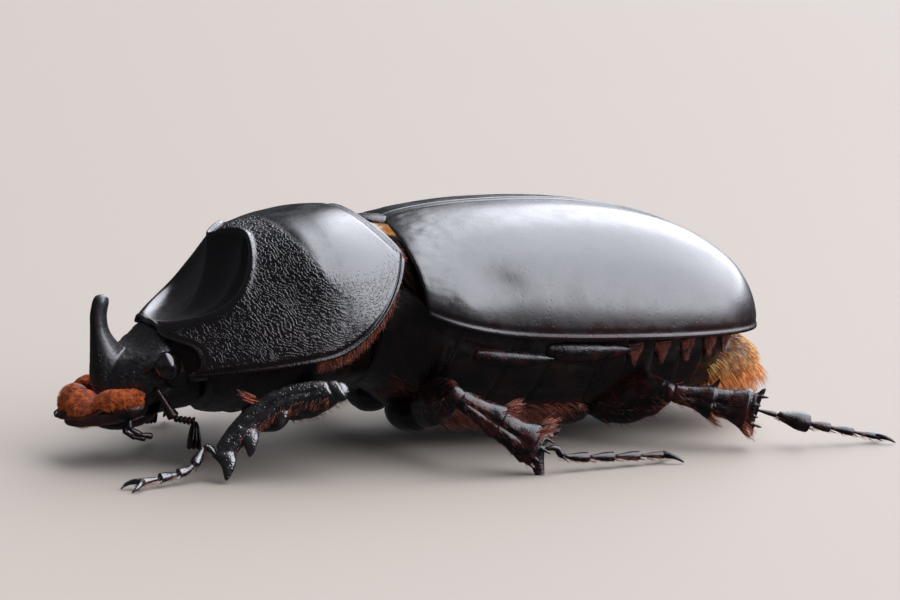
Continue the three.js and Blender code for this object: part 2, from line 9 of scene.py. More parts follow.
import bpy
import numpy as np
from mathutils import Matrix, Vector, noise


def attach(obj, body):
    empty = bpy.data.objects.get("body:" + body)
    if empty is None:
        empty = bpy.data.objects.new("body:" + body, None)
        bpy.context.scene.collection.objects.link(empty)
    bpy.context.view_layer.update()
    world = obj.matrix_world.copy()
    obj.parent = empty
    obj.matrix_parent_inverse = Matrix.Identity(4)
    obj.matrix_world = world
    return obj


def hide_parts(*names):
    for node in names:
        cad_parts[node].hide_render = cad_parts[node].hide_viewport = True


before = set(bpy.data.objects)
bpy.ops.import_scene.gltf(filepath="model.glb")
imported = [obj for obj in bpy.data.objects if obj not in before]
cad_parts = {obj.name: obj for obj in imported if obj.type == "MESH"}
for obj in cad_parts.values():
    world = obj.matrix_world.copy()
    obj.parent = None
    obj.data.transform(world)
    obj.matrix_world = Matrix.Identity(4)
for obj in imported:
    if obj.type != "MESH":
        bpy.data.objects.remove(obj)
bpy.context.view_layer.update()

bl_info = {
    "name": "Rhinoceros beetle",
    "version": (1, 0, 0),
    "blender": (4, 5, 0),
    "location": "View3D > Sidebar > Beetle",
    "description": "Builds the plates, legs, bristles and studio of a rhinoceros beetle",
    "category": "Object",
}

MM = 0.001  # metres in a millimetre
PI = math.pi
SEED = 20
UV_PATCH = 0.003  # width of one bristle on the map OFBake

# ------------------------------------------------------------------ sizes, in millimetres

GAP = 0.1  # clear space between two plates that touch
PLATE = 0.7  # thickness of the pronotum and of the wing cases

WING = {
    "base": -4.6, "apex": 19.1, "base_sweep": 0.15, "base_bulge": 0.3, "widest": 7.5,
    "half_width": 9.8, "shoulder": 9.1, "crown": 14.0, "crown_at": 2.5, "base_dip": 0.6, "rim": 6.6,
    "rim_rise": 2.1, "rim_fall": 4.2, "tip_drop": 0.55, "squareness": 0.84,
}

PRONOTUM = {
    "pivot_y": -5.55, "pivot_z": 7.4, "pitch": math.radians(9), "length": 12.8,
    "half_width": 9.3, "hind_half_width": 9.2, "front_half_width": 4.7, "widest": 4.6,
    "crown": 7.1, "hind_crown": 6.75, "crown_at": 3.0, "slope_from": 7.9, "slope": 0.85,
    "squareness": 0.86, "front_squareness": 1.28, "corner_rise": 4.5, "corner_reach": 5.2,
    "hind_bulge": 1.0, "eye_notch": 1.3,
}

HOLLOW = {
    "front": 2.4, "crest_height": 6.9, "crest": 6.6, "peak": 1.6, "peak_width": 1.3,
    "steepness": 4, "flare": 0.02, "soften": 0.35, "lip": 0.26, "crest_lip": 0.16,
    "lip_width": 0.55,
}

DENT = {"forward": 5.6, "height": 3.4, "radius": 1.5, "depth": 0.35}

BODY = {"front": -6.6, "back": 17.7, "chest_end": 5.95, "rump": 15.4}  # along y

HEAD = {
    "y": -17.6, "z": 6.4, "pitch": math.radians(42), "back": -1.0, "front": 4.9,
    "half_width": 3.3, "clypeus": 1.9, "top": 1.75, "bottom": -1.9,
}

HORN = {"foot": 4.3, "tip": 9.6, "front": -21.85, "thick": 0.98, "swell": 2.7, "wide": 0.46}
EYE = {"middle": (3.42, -18.35, 5.85), "half": (0.8, 0.82, 0.82)}
TAIL = {"middle": (0, 14.6, 4.05), "half": (6.6, 4.9, 1.9)}  # the egg of the tail plate
SIDE_FOLDS = (8.3, 10.1, 11.8, 13.5, 15.0)  # y of the soft folds between belly and back
STERNITES = (6.1, 7.9, 9.7, 11.5, 13.2, 15.0)  # y of the front edge of each belly ring
SIDES = ((1, "left"), (-1, "right"))

LAMP = (0.07, 0.89, 0.45)  # towards the middle of the lamp
VIEW = {"turn": math.radians(68), "rise": math.radians(9), "away": 200, "target": (0, 0.3, 8.0),
        "pixels_per_mm": 16.8, "image_width": 900, "sensor": 36}

# ------------------------------------------------------------------ arithmetic on arrays


def vec(*numbers):
    return np.array(numbers, float)


def unit(a):
    return a / np.maximum(np.linalg.norm(a, axis=-1, keepdims=True), 1e-9)


def mix(a, b, t):
    return a + (b - a) * t


def smooth(x, low, high):
    t = np.clip((x - low) / (high - low), 0, 1)
    return t * t * (3 - 2 * t)


def bell(x, width):
    return np.exp(-((x / width) ** 2))


def full(value, power):
    """A value bent towards a fuller curve, keeping its sign."""
    return np.sign(value) * np.abs(value) ** power


def rounding(q, power):
    """A superellipse quarter: 1 at q = 0, falling to 0 at q = 1."""
    return np.maximum(0, 1 - np.maximum(0, q) ** power) ** (1 / power)


def soft_min(a, b, radius):
    blend = np.maximum(0, 1 - np.abs(a - b) / radius)
    return np.minimum(a, b) - blend * blend * radius / 4


def profile(*values):
    """Half axes that run smoothly through the given values at even steps."""
    places, values = np.linspace(0, 1, len(values)), np.array(values)

    def at(t):
        i = np.clip(np.floor(t * (len(values) - 1)).astype(int), 0, len(values) - 2)
        return mix(values[i], values[i + 1], smooth(t, places[i], places[i + 1]))

    return at


def grain(points, size, seed=0.0):
    """Smooth noise from -1 to 1, with features of that size."""
    flat = (np.asarray(points, float).reshape(-1, 3) / size + seed).tolist()
    return np.array([noise.noise(p) for p in flat]).reshape(np.shape(points)[:-1])


def outward(points, centre):
    """Unit normals of a grid of points, pointing away from centre."""
    across, along = np.gradient(points, axis=1), np.gradient(points, axis=0)
    normal = unit(np.cross(across, along))
    flip = np.sign(np.mean(np.sum(normal * (points - centre), axis=-1)))
    return normal * flip


def run(points, axis):
    """How far along the grid each point lies from its first and from its last edge."""
    step = np.linalg.norm(np.diff(points, axis=axis), axis=-1)
    start = np.pad(np.cumsum(step, axis=axis), [(int(axis == k), 0) for k in (0, 1)])
    return start, np.take(start, [-1], axis=axis) - start


# ------------------------------------------------------------------ making meshes


def activate(*pieces):
    """Only these are selected, the first of them active."""
    bpy.ops.object.select_all(action="DESELECT")
    for piece in pieces:
        piece.select_set(True)
    bpy.context.view_layer.objects.active = pieces[0]


def read(piece, kind="co"):
    """The places of a mesh's corners, or their normals, as an array."""
    flat = np.empty(len(piece.data.vertices) * 3, np.float32)
    piece.data.vertices.foreach_get(kind, flat)
    return flat.reshape(-1, 3)


def put(piece, points):
    piece.data.vertices.foreach_set("co", np.asarray(points, np.float32).ravel())
    piece.data.update()


def edit(piece, *steps):
    """Runs edit-mode steps, each with its settings, on all of a piece."""
    activate(piece)
    bpy.ops.object.mode_set(mode="EDIT")
    bpy.ops.mesh.select_all(action="SELECT")
    for step, settings in steps:
        step(**settings)
    bpy.ops.object.mode_set(mode="OBJECT")


def grid(name, across, along):
    """A grid primitive, and the row and column of each of its corners."""
    bpy.ops.object.select_all(action="DESELECT")
    bpy.ops.mesh.primitive_grid_add(x_subdivisions=across, y_subdivisions=along, size=1)
    piece = bpy.context.object
    piece.name = piece.data.name = name
    place = read(piece) + 0.5
    cols = np.rint(place[:, 0] * across).astype(int)
    rows = np.rint(place[:, 1] * along).astype(int)
    return piece, rows, cols


def sheet(name, across, along, place):
    """A grid whose corners place(u, v) puts in space, with the shades it gives them."""
    piece, rows, cols = grid(name, across, along)
    u, v = np.meshgrid(np.linspace(0, 1, across + 1), np.linspace(0, 1, along + 1))
    points, shades = place(u, v)
    put(piece, points[rows, cols])
    for label, values in shades.items():
        layer = piece.data.attributes.new(label, "FLOAT", "POINT")
        layer.data.foreach_set("value", values[rows, cols].astype(np.float32))
    return piece


def wall(piece, centre, thickness):
    """Turns a sheet's faces away from centre and gives it its thickness, inwards."""
    total = sum((Vector(f.center) - Vector(centre)).dot(f.normal) * f.area
                for f in list(piece.data.polygons)[::7])
    if total < 0:
        edit(piece, (bpy.ops.mesh.flip_normals, {}))
    modify(piece, "SOLIDIFY", thickness=thickness, offset=-1.0, use_even_offset=False)


def tube(name, sides, steps, place, even=True):
    """A closed body along an axis: place(x, z, t) for a unit disc at t from 0 to 1."""
    piece, rows, cols = grid(name, sides, steps + 2)
    t = np.linspace(0, 1, steps + 1)
    if not even:
        t = 0.5 - 0.5 * np.cos(t * PI)
    t = np.repeat(np.pad(t, 1, constant_values=(0, 1))[:, None], sides + 1, axis=1)
    radius = np.pad(np.ones(steps + 1), 1)[:, None]
    turn = np.linspace(0, 2 * PI, sides + 1)[None, :]
    points = place(radius * np.cos(turn), radius * np.sin(turn), t)
    points[:, -1] = points[:, 0]
    put(piece, points[rows, cols])
    edit(piece, (bpy.ops.mesh.remove_doubles, {"threshold": 0.0005}),
         (bpy.ops.mesh.normals_make_consistent, {"inside": False}))
    return piece


def closing(t, reach):
    """1 along a limb, rounding off to 0 over the last `reach` of each end."""
    return rounding((np.abs(2 * t - 1) - (1 - reach)) / reach, 2)


def limb_frame(start, end, broad):
    axis = unit(end - start)
    across = unit(broad - axis * np.dot(broad, axis))
    return across, np.cross(axis, across)


def limb_skin(start, end, broad, width, depth, bow=0.0):
    """Skin points skin(x, z, t) of a limb segment, `broad` being the way its width lies."""
    across, upward = limb_frame(start, end, broad)

    def at(x, z, t):
        spine = start + (end - start) * t[..., None] + across * (bow * np.sin(PI * t))[..., None]
        return spine + across * (x * width(t))[..., None] + upward * (z * depth(t))[..., None]

    return at


def limb(name, start, end, broad, width, depth, sides, steps, bow=0.0, ends=0.12, square=1.0,
         surface=None):
    """A limb segment with rounded ends; surface(points, spine, x, z, t) may reshape it."""
    skin = limb_skin(start, end, broad, width, depth, bow)

    def place(x, z, t):
        close = closing(t, ends)
        points = skin(full(x, square) * close, full(z, square) * close, t)
        return surface(points, skin(0 * x, 0 * z, t), x, z, t) if surface else points

    return tube(name, sides, steps, place, even=False)


def egg(name, middle, half, sides, rings, pitch=0.0, surface=None):
    """A ball with its own half axes, turned nose down by pitch."""
    c, s = math.cos(pitch), math.sin(pitch)

    def place(x, z, t):
        radius = np.sin(t * PI)
        side, forward, high = x * radius * half[0], -np.cos(t * PI) * half[1], z * radius * half[2]
        points = np.stack([side, forward * c - high * s, forward * s + high * c], -1) + middle
        return surface(points) if surface else points

    return tube(name, sides, rings, place)


def spike(name, root, tip, thick, sides, steps, curl=vec(0, 0, 0), blunt=0.12,
          broad=vec(0.31, 0.2, 0.93), flat=1.0):
    """A tooth, spine or claw that thins to its tip; curl pushes its middle aside."""
    across, upward = limb_frame(root, tip, broad)

    def place(x, z, t):
        spine = root + (tip - root) * t[..., None] + curl * np.sin(PI * t)[..., None]
        size = thick * (blunt + (1 - blunt) * (1 - t) ** 0.8) * rounding((t - 0.9) / 0.1, 2)
        return spine + across * (x * size)[..., None] + upward * (z * size * flat)[..., None]

    return tube(name, sides, steps, place)


def join(name, pieces):
    """Several meshes as one object."""
    activate(*pieces)
    if len(pieces) > 1:
        bpy.ops.object.join()
    piece = bpy.context.object
    piece.name = piece.data.name = name
    return piece


def modify(piece, kind, **settings):
    """Adds a modifier and applies it."""
    activate(piece)
    added = piece.modifiers.new(kind.title(), kind)
    for key, value in settings.items():
        setattr(added, key, value)
    bpy.ops.object.modifier_apply(modifier=added.name)
    return piece


def fuse(name, pieces, voxel, rounds):
    """Several meshes grown together into one skin, with soft fillets where they meet."""
    piece = modify(join(name, pieces), "REMESH", mode="VOXEL", voxel_size=voxel)
    return modify(piece, "SMOOTH", factor=0.5, iterations=rounds)


def roughen(piece, *layers, mask=None):
    """Moves the surface in and out by noise; each layer is (size, depth, seed)."""
    points, normals = read(piece).astype(float), read(piece, "normal")
    shift = sum(depth * grain(points, size, seed) for size, depth, seed in layers)
    if mask:
        shift = shift * mask(points)
    put(piece, points + normals * shift[:, None])
    return piece


def level(piece, floor=0.0):
    """Nothing reaches below the floor."""
    points = read(piece)
    points[:, 2] = np.maximum(points[:, 2], floor)
    put(piece, points)
    return piece


def done(piece, material, slot, *nodes, angle=None):
    """Finishes a piece: smooth shading, metres, material; hangs it on the root and hides the
    imported parts it stands for.
    """
    activate(piece)
    if angle is None:
        bpy.ops.object.shade_smooth()
    else:
        bpy.ops.object.shade_smooth_by_angle(angle=math.radians(angle))
    piece.scale = (MM, MM, MM)
    bpy.ops.object.transform_apply(location=True, rotation=True, scale=True)
    piece.data.materials.clear()
    piece.data.materials.append(material)
    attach(piece, "root")
    if nodes:
        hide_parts(*nodes)
    return piece


# ------------------------------------------------------------------ finishes


class Nodes:
    """A node tree under construction."""

    def __init__(self, tree, space="Object"):
        self.tree = tree
        self.place = self.add("ShaderNodeTexCoord").outputs[space]

    def put(self, value, socket):
        """A link into a socket, or its constant; a colour may leave out its alpha."""
        if isinstance(value, bpy.types.NodeSocket):
            self.tree.links.new(value, socket)
        elif socket.type == "RGBA":
            socket.default_value = (*value, 1)
        else:
            socket.default_value = value

    def add(self, kind, inputs=None, **settings):
        node = self.tree.nodes.new(kind)
        for key, value in settings.items():
            setattr(node, key, value)
        for key, value in (inputs or {}).items():
            self.put(value, node.inputs[key])
        return node

    def between(self, value, low, high, start=0.0, end=1.0):
        """A value from low to high as start to end, eased."""
        node = self.add("ShaderNodeMapRange", {
            "Value": value, "From Min": low, "From Max": high, "To Min": start, "To Max": end,
        }, interpolation_type="SMOOTHSTEP")
        return node.outputs["Result"]


class Finish(Nodes):
    """A node material under construction."""

    def __init__(self, name):
        self.material = bpy.data.materials.new(name)
        self.material.use_nodes = True
        super().__init__(self.material.node_tree)
        self.shader = self.tree.nodes["Principled BSDF"]
        self.normal = None

    def noise(self, size, detail=3.0, rough=0.5):
        """Noise with features of that many millimetres."""
        inputs = {"Vector": self.place, "Scale": 1 / (size * MM), "Detail": detail,
                  "Roughness": rough}
        return self.add("ShaderNodeTexNoise", inputs).outputs["Fac"]

    def cells(self, size):
        inputs = {"Vector": self.place, "Scale": 1 / (size * MM)}
        return self.add("ShaderNodeTexVoronoi", inputs).outputs["Distance"]

    def maths(self, operation, a, b=0):
        return self.add("ShaderNodeMath", {0: a, 1: b}, operation=operation).outputs[0]

    def times(self, a, b):
        return self.maths("MULTIPLY", a, b)

    def blend(self, fac, a, b):
        """Two colours mixed by fac."""
        mixed = self.add("ShaderNodeMix", {"Factor": fac, 6: a, 7: b}, data_type="RGBA")
        return mixed.outputs[2]

    def height(self, value, depth):
        """Adds relief: depth in millimetres of a value of 1."""
        inputs = {"Height": value, "Distance": depth * MM, "Strength": 1.0}
        if self.normal:
            inputs["Normal"] = self.normal
        self.normal = self.add("ShaderNodeBump", inputs).outputs["Normal"]

    def attribute(self, name):
        return self.add("ShaderNodeAttribute", attribute_name=name).outputs["Fac"]

    def finish(self, colour, roughness, **constants):
        """The material, with its constants set on the shader's own sockets."""
        for key, value in constants.items():
            self.shader.inputs[key.replace("_", " ")].default_value = value
        self.put(colour, self.shader.inputs["Base Color"])
        self.put(roughness, self.shader.inputs["Roughness"])
        if self.normal:
            self.put(self.normal, self.shader.inputs["Normal"])
        return self.material


def shell_finish(name, look, wrinkled=False, pit_size=0.3, pit_depth=0.006, gloss=None,
                 low_red_and_painted_reflection=1.0):
    """Polished black chitin with fine pits, redder low down: partly its own red-brown, partly a
    painted reflection of the floor.
    """
    n = Finish(name)
    height = n.add("ShaderNodeSeparateXYZ", {"Vector": n.place}).outputs["Z"]
    # Red laid on by height, below about 10 mm: partly the chitin's red-brown, partly a painted
    # reflection of the floor on the lower flanks.
    low = n.between(height, 0.0058, 0.0105, low_red_and_painted_reflection, 0.0)
    red = n.times(low, n.between(n.noise(3.0, 4.0, 0.6), 0.35, 0.65, 0.3, 1.0))
    base = n.blend(red, look.black, look.red)
    shine = look.gloss if gloss is None else gloss
    roughness = n.between(n.noise(1.3, 5.0, 0.6), 0.3, 0.75, shine - 0.05, shine + 0.09)
    n.height(n.noise(2.2), 0.02)
    pits = n.between(n.cells(pit_size), 0.10, 0.26)
    n.height(n.times(pits, n.between(n.noise(2.0), 0.3, 0.6, 0.35, 1.0)), pit_depth)
    if wrinkled:
        mask = n.attribute("wrinkled")
        wave = n.maths("ADD", n.attribute("rings"), n.between(n.noise(0.25), 0.2, 0.8, -0.4, 0.4))
        wave = n.maths("ABSOLUTE", n.maths("SINE", n.times(wave, PI)))
        broken = n.between(n.noise(0.22, 3.0, 0.6), 0.4, 0.6, 0.1, 1.0)
        n.height(n.times(n.times(n.between(wave, 0.55, 1.0), broken), mask), 0.03)
        border = n.times(mask, n.maths("SUBTRACT", 1.0, mask))
        n.height(n.times(n.between(n.cells(0.26), 0.1, 0.3), border), 0.1)
        n.height(n.times(n.noise(0.12, 3.0, 0.7), n.attribute("rugose")), 0.09)
    n.height(n.noise(0.07, 2.0), 0.0012)
    return n.finish(base, roughness, IOR=look.index, Coat_Weight=0.25, Coat_Roughness=0.12,
                    Coat_IOR=1.6)


def under_finish(name, look, red=0.6):
    """The softer dark red-brown chitin of the underside and hips."""
    n = Finish(name)
    base = n.blend(n.times(n.between(n.noise(1.6, 4.0, 0.6), 0.3, 0.7), red), look.black,
                   look.underside)
    n.height(n.between(n.cells(0.22), 0.08, 0.3), 0.006)
    n.height(n.noise(0.5, 4.0, 0.6), 0.03)
    return n.finish(base, n.between(n.noise(0.7, 4.0), 0.3, 0.7, 0.24, 0.42), IOR=1.65,
                    Coat_Weight=0.15, Coat_Roughness=0.15)


def leg_finish(name, look, index=1.6, pit_depth=0.008, red=1.0):
    """Glossy dark leg chitin, pitted, with scratches along it."""
    n = Finish(name)
    base = n.blend(n.times(n.between(n.noise(1.1, 4.0, 0.6), 0.4, 0.7), red), look.black, look.leg)
    n.height(n.between(n.cells(0.17), 0.05, 0.45), pit_depth)
    n.height(n.noise(0.35, 4.0, 0.65), 0.03)
    return n.finish(base, n.between(n.noise(0.5, 4.0), 0.3, 0.7, 0.22, 0.4), IOR=index,
                    Coat_Weight=0.1, Coat_Roughness=0.12)


def bristle_finish(name, dark, bright, size=0.5):
    """Hair, or soft skin, of two tones."""
    n = Finish(name)
    base = n.blend(n.between(n.noise(size, 2.0), 0.35, 0.65), dark, bright)
    return n.finish(base, n.between(n.noise(0.3), 0.3, 0.7, 0.4, 0.6), IOR=1.5,
                    Sheen_Weight=0.2, Sheen_Roughness=0.4)


def membrane_finish(name, pale, amber, deep):
    """Soft skin, from pale through amber to dark by its own attribute; the dark is painted shade
    where the skin lies under and between the plates.
    """
    n = Finish(name)
    tone_and_painted_shade = n.maths("ADD", n.attribute("brown"), n.between(n.noise(0.5), 0.3, 0.7, -0.15, 0.15))
    base = n.blend(n.between(tone_and_painted_shade, 0.1, 0.5), pale, amber)
    base = n.blend(n.between(tone_and_painted_shade, 0.6, 1.1), base, deep)
    n.height(n.noise(0.3, 4.0), 0.06)
    return n.finish(base, n.between(n.noise(0.4), 0.3, 0.7, 0.4, 0.6), IOR=1.4,
                    Specular_IOR_Level=0.03, Subsurface_Weight=0.1, Subsurface_Scale=0.0004)


def eye_finish(name, look):
    """A smooth compound eye with hardly visible facets."""
    n = Finish(name)
    base = n.blend(n.between(n.noise(0.4), 0.35, 0.65), look.black, (0.02, 0.012, 0.012))
    n.height(n.cells(0.05), 0.001)
    return n.finish(base, n.between(n.noise(0.3), 0.3, 0.7, 0.06, 0.12), IOR=1.7,
                    Coat_Weight=0.6, Coat_Roughness=0.03)


# ------------------------------------------------------------------ bristles


def coat(name, roots, along, length, thick, places, bend, spread, seed):
    """Many tapered bristles in one mesh. Each is three-sided and ends in a point.

    places are the roots' own places on an unwrap of the skin, for the map OFBake.
    """
    random = np.random.default_rng(SEED + seed)
    count = len(roots)
    along = unit(unit(along) + random.normal(0, 1, (count, 3)) * spread)
    lengths = length * random.uniform(0.72, 1.12, count)
    thick = thick * random.uniform(0.8, 1.15, count)
    side = unit(np.cross(along, vec(0.37, 0.21, 0.9)))
    other = np.cross(along, side)
    turn = random.uniform(0, 2 * PI, count)
    corners = []
    for t, size in ((0.0, 1.0), (0.35, 0.9), (0.72, 0.55)):
        middle = roots + along * (lengths * t)[:, None] + bend * (lengths * t * t)[:, None]
        for k in range(3):
            angle = turn + k * 2 * PI / 3
            ring = side * np.cos(angle)[:, None] + other * np.sin(angle)[:, None]
            corners.append(middle + ring * (thick * size)[:, None])
    corners.append(roots + along * lengths[:, None] + bend * lengths[:, None])
    pattern = [(0, 2, 1)]
    pattern += [(r + k, r + (k + 1) % 3, r + 3 + (k + 1) % 3, r + 3 + k)
                for r in (0, 3) for k in range(3)]
    pattern += [(6 + k, 6 + (k + 1) % 3, 9) for k in range(3)]
    faces = [tuple(i * 10 + c for c in face) for i in range(count) for face in pattern]
    mesh = bpy.data.meshes.new(name)
    mesh.from_pydata(np.stack(corners, 1).reshape(-1, 3).tolist(), [], faces)
    mesh.update()
    which = np.empty(len(mesh.loops), np.int32)
    mesh.loops.foreach_get("vertex_index", which)
    local = which % 10
    across = np.where(local == 9, 0.5, (local % 3) / 2.0) - 0.5
    up = np.minimum(local // 3, 3) / 3.0 - 0.5
    uv = np.clip(places, 0.002, 0.998)[which // 10] + np.stack([across, up], 1) * UV_PATCH
    layer = mesh.uv_layers.new(name="OFBake")
    layer.data.foreach_set("uv", uv.astype(np.float32).ravel())
    piece = bpy.data.objects.new(name, mesh)
    bpy.context.scene.collection.objects.link(piece)
    return piece


def scatter(count, seed, low, high):
    return np.random.default_rng(SEED + seed).uniform(low, high, count)


def around(skin, count, seed, low, high, turns=(0, 2 * PI)):
    """Roots on a limb whose skin points are skin(x, z, t), their normals and their places."""
    turn = scatter(count, seed, *turns)
    t = scatter(count, seed + 1, low, high)
    x, z = np.cos(turn), np.sin(turn)
    roots = skin(x, z, t)
    return roots, unit(roots - skin(x * 0, z * 0, t)), np.stack([turn / (2 * PI) % 1, t], 1)


# ------------------------------------------------------------------ wing cases


def wing_section(y, depth):
    """Rim, half width, crown height and squareness of the wing cases at y."""
    w = WING
    past = (y - w["crown_at"]) / (w["apex"] - w["crown_at"])
    rim = w["rim"] + w["rim_rise"] * np.exp(-np.maximum(0, y - w["base"]) / w["rim_fall"])
    rim = rim - w["tip_drop"] * np.maximum(0, past) ** 2
    behind = (y - w["widest"]) / (w["apex"] - depth - w["widest"])
    before = ((w["widest"] - y) / (w["widest"] - w["base"])) ** 2
    half = np.where(behind > 0, w["half_width"] * rounding(behind, 2.5),
                    mix(w["half_width"], w["shoulder"], before))
    past = (y - w["crown_at"]) / (w["apex"] - depth - w["crown_at"])
    ahead = (w["crown_at"] - y) / (w["crown_at"] - w["base"])
    top = np.where(past > 0, mix(rim, w["crown"], rounding(past, 2.25)),
                   w["crown"] - w["base_dip"] * ahead ** 2)
    return (rim, half * (1 - depth / w["half_width"]),
            (top - rim) * (1 - depth / (w["crown"] - w["rim"])),
            mix(1.0, w["squareness"], smooth(y, w["base"], w["base"] + 7)))


def wing_skin(u, v, depth=0.0):
    """u runs from the suture to the side rim, v from base to apex."""
    angle = u * PI / 2
    base = WING["base"] + WING["base_sweep"] * np.cos(angle)
    base = base - WING["base_bulge"] * np.sin(2 * angle)
    y = mix(base, WING["apex"] - depth, np.sin(v * PI / 2))
    rim, half, crown, square = wing_section(y, depth)
    x = np.maximum(half * np.sin(angle) ** square, GAP / 2)
    return np.stack([x, y, rim + crown * np.maximum(np.cos(angle), 0) ** square], -1)


def wing_case_surface(u, v, bead, unevenness):
    """The left wing case with its beads, shoulder knob, faint ribs and unevenness."""
    points = wing_skin(u, v)
    normal = outward(points, vec(0, 7, 5))
    suture, side = run(points, 1)
    base, _ = run(points, 0)
    y = points[..., 1]
    relief = bead * 0.25 * bell(side - 0.1, 0.11) - bead * 0.35 * bell(side - 0.38, 0.16)
    relief += bead * 0.12 * bell(base - 0.1, 0.11) - 0.22 * np.exp(-base / 0.8)
    relief += 0.015 * bell(suture - 0.15, 0.2) - 0.02 * bell(suture - 0.75, 0.16)
    relief -= 0.03 * bell(suture, 0.08)
    knob = bell(y + 2.6, 1.5) * bell(points[..., 2] - 9.7, 1.2)
    valley = bell(y + 0.4, 1.6) * bell(points[..., 2] - 10.4, 0.8)
    relief += 0.22 * knob - 0.16 * valley
    relief += 0.12 * bell(y - 16.0, 1.3) * bell(points[..., 2] - 9.2, 1.1)
    ribs = np.cos(suture * 2.1) * smooth(base, 1.5, 5) * smooth(18.3 - y, 0.5, 4)
    relief += 0.012 * ribs * smooth(side, 1.0, 2.5)
    relief += unevenness * grain(points * vec(1, 0.5, 1), 2.3) * smooth(side, 0.4, 1.2)
    rough = grain(points, 0.9, 5.0) + 0.5 * grain(points, 0.4, 2.0)
    relief += unevenness * 1.4 * rough * bell(base - 1.3, 1.5) * smooth(side, 0.4, 1)
    return points + normal * relief[..., None]


# ------------------------------------------------------------------ prothorax


def prothorax_point(x, forward, height):
    """From the prothorax's own frame (x, forward of the hind margin, height)."""
    p = PRONOTUM
    c, s = math.cos(p["pitch"]), math.sin(p["pitch"])
    return np.stack([x, p["pivot_y"] - forward * c - height * s,
                     p["pivot_z"] - forward * s + height * c], -1)


def pronotum_half_width(forward):
    p = PRONOTUM
    hind = mix(p["half_width"], p["hind_half_width"], (1 - forward / p["widest"]) ** 2)
    share = np.maximum(0, forward - p["widest"]) / (p["length"] - p["widest"])
    return np.where(forward < p["widest"], hind,
                    mix(p["half_width"], p["front_half_width"], share ** 1.9))


def pronotum_crown(forward):
    p = PRONOTUM
    dome = mix(p["crown"], p["hind_crown"], np.maximum(0, 1 - forward / p["crown_at"]) ** 2)
    slope = p["crown"] - 0.25 - p["slope"] * (forward - p["slope_from"])
    return soft_min(dome, slope, 1)


def pronotum_squareness(forward):
    p = PRONOTUM
    rear = 0.16 * (1 - smooth(forward, -1, 3))
    return mix(p["squareness"], p["front_squareness"], smooth(forward, 4, 8)) + rear


def hollow_crest(x):
    """How far forward the hollow's top edge lies; it juts forward in the middle."""
    return HOLLOW["crest"] + HOLLOW["peak"] * bell(x, HOLLOW["peak_width"])


def hollow_height(x, forward):
    h = HOLLOW
    climb = np.maximum(0, (PRONOTUM["length"] - forward) / (PRONOTUM["length"] - hollow_crest(x)))
    return mix(h["front"], h["crest_height"], climb ** h["steepness"]) + h["flare"] * x * x


def pronotum_skin(u, v, depth=0.0):
    """Points of the pronotum, with how far each lies inside the hollow."""
    p, h = PRONOTUM, HOLLOW
    tilt = (u - 0.5) * PI
    hind = -p["hind_bulge"] * np.sin(tilt) ** 2
    past = np.abs(tilt) - 1.2
    notch = np.exp(-np.where(past < 0, np.abs(past / 0.34) ** 2.4, np.abs(past / 0.26) ** 4))
    front = p["length"] - p["eye_notch"] * notch - 0.5 * smooth(np.abs(tilt), 1.3, 1.56)
    forward = mix(hind, front, v)
    square = pronotum_squareness(forward)
    half = pronotum_half_width(forward) - depth * 0.8
    crown = pronotum_crown(forward) - depth
    to_corner = (forward + p["hind_bulge"]) / (p["corner_reach"] + p["hind_bulge"])
    corner = np.clip(1 - to_corner, 0, 1) ** 1.9 * p["corner_rise"]
    lowest = np.arccos(np.minimum(1, corner / crown) ** (1 / square))
    angle = mix(-lowest, lowest, u)
    dome = crown * np.maximum(np.cos(angle), 0) ** square
    dent = np.exp(-((forward - DENT["forward"]) ** 2 + (dome - DENT["height"]) ** 2)
                  / DENT["radius"] ** 2)
    x = half * full(np.sin(angle), square) - np.sign(angle) * DENT["depth"] * dent
    hollow = hollow_height(x, forward) - depth
    lip = h["lip"] + h["crest_lip"] * bell(x, 1.6)
    lip = lip * bell(dome - hollow, h["lip_width"])
    lip = lip * smooth(forward, h["crest"] - 2.5, h["crest"] - 0.5)
    points = prothorax_point(x, forward, soft_min(dome, hollow, h["soften"]) + lip)
    return points, dome - hollow


def pronotum_surface(u, v, bead, wrinkle):
    """The pronotum with its rim, flat hind border, wrinkles and pits."""
    points, inside = pronotum_skin(u, v)
    normal = outward(points, vec(0, -11, 5))
    right, left = run(points, 1)
    hind, front = run(points, 0)
    side = np.minimum(np.minimum(right, left), front)
    edge = soft_min(side, hind, 0.3)
    rear = smooth(side - hind, -0.3, 0.6)
    border = 0.24 + (0.3 + 0.2 * smooth(np.abs(u - 0.5), 0.1, 0.3)) * rear
    relief = bead * 0.6 * bell(edge - 0.08, 0.08) * mix(1.0, 0.6, rear)
    relief -= bead * 0.5 * bell(edge - border, 0.09)
    relief -= bead * 0.45 * smooth(border - edge, -0.1, 0.1) * rear
    flank, mask, rings = prothorax_flank(points, inside, side, hind)
    relief += wrinkle * flank
    open_top = smooth(-inside, 0.3, 1.0)
    relief += 0.02 * grain(points, 2.0, 3.0) * open_top
    relief += 0.04 * grain(points, 1.4, 9.0) * smooth(inside, 0.4, 1.2) * smooth(front, 0.3, 1)
    rugose = smooth(border - edge, -0.03, 0.06) * (0.35 + 0.65 * rear)
    rugose = rugose + 0.22 * smooth(2.4 - front, 0, 1.6) * smooth(inside, 0.1, 0.8)
    shades = {"wrinkled": mask, "rings": rings, "rugose": np.clip(rugose, 0, 1)}
    return points + normal * relief[..., None], shades


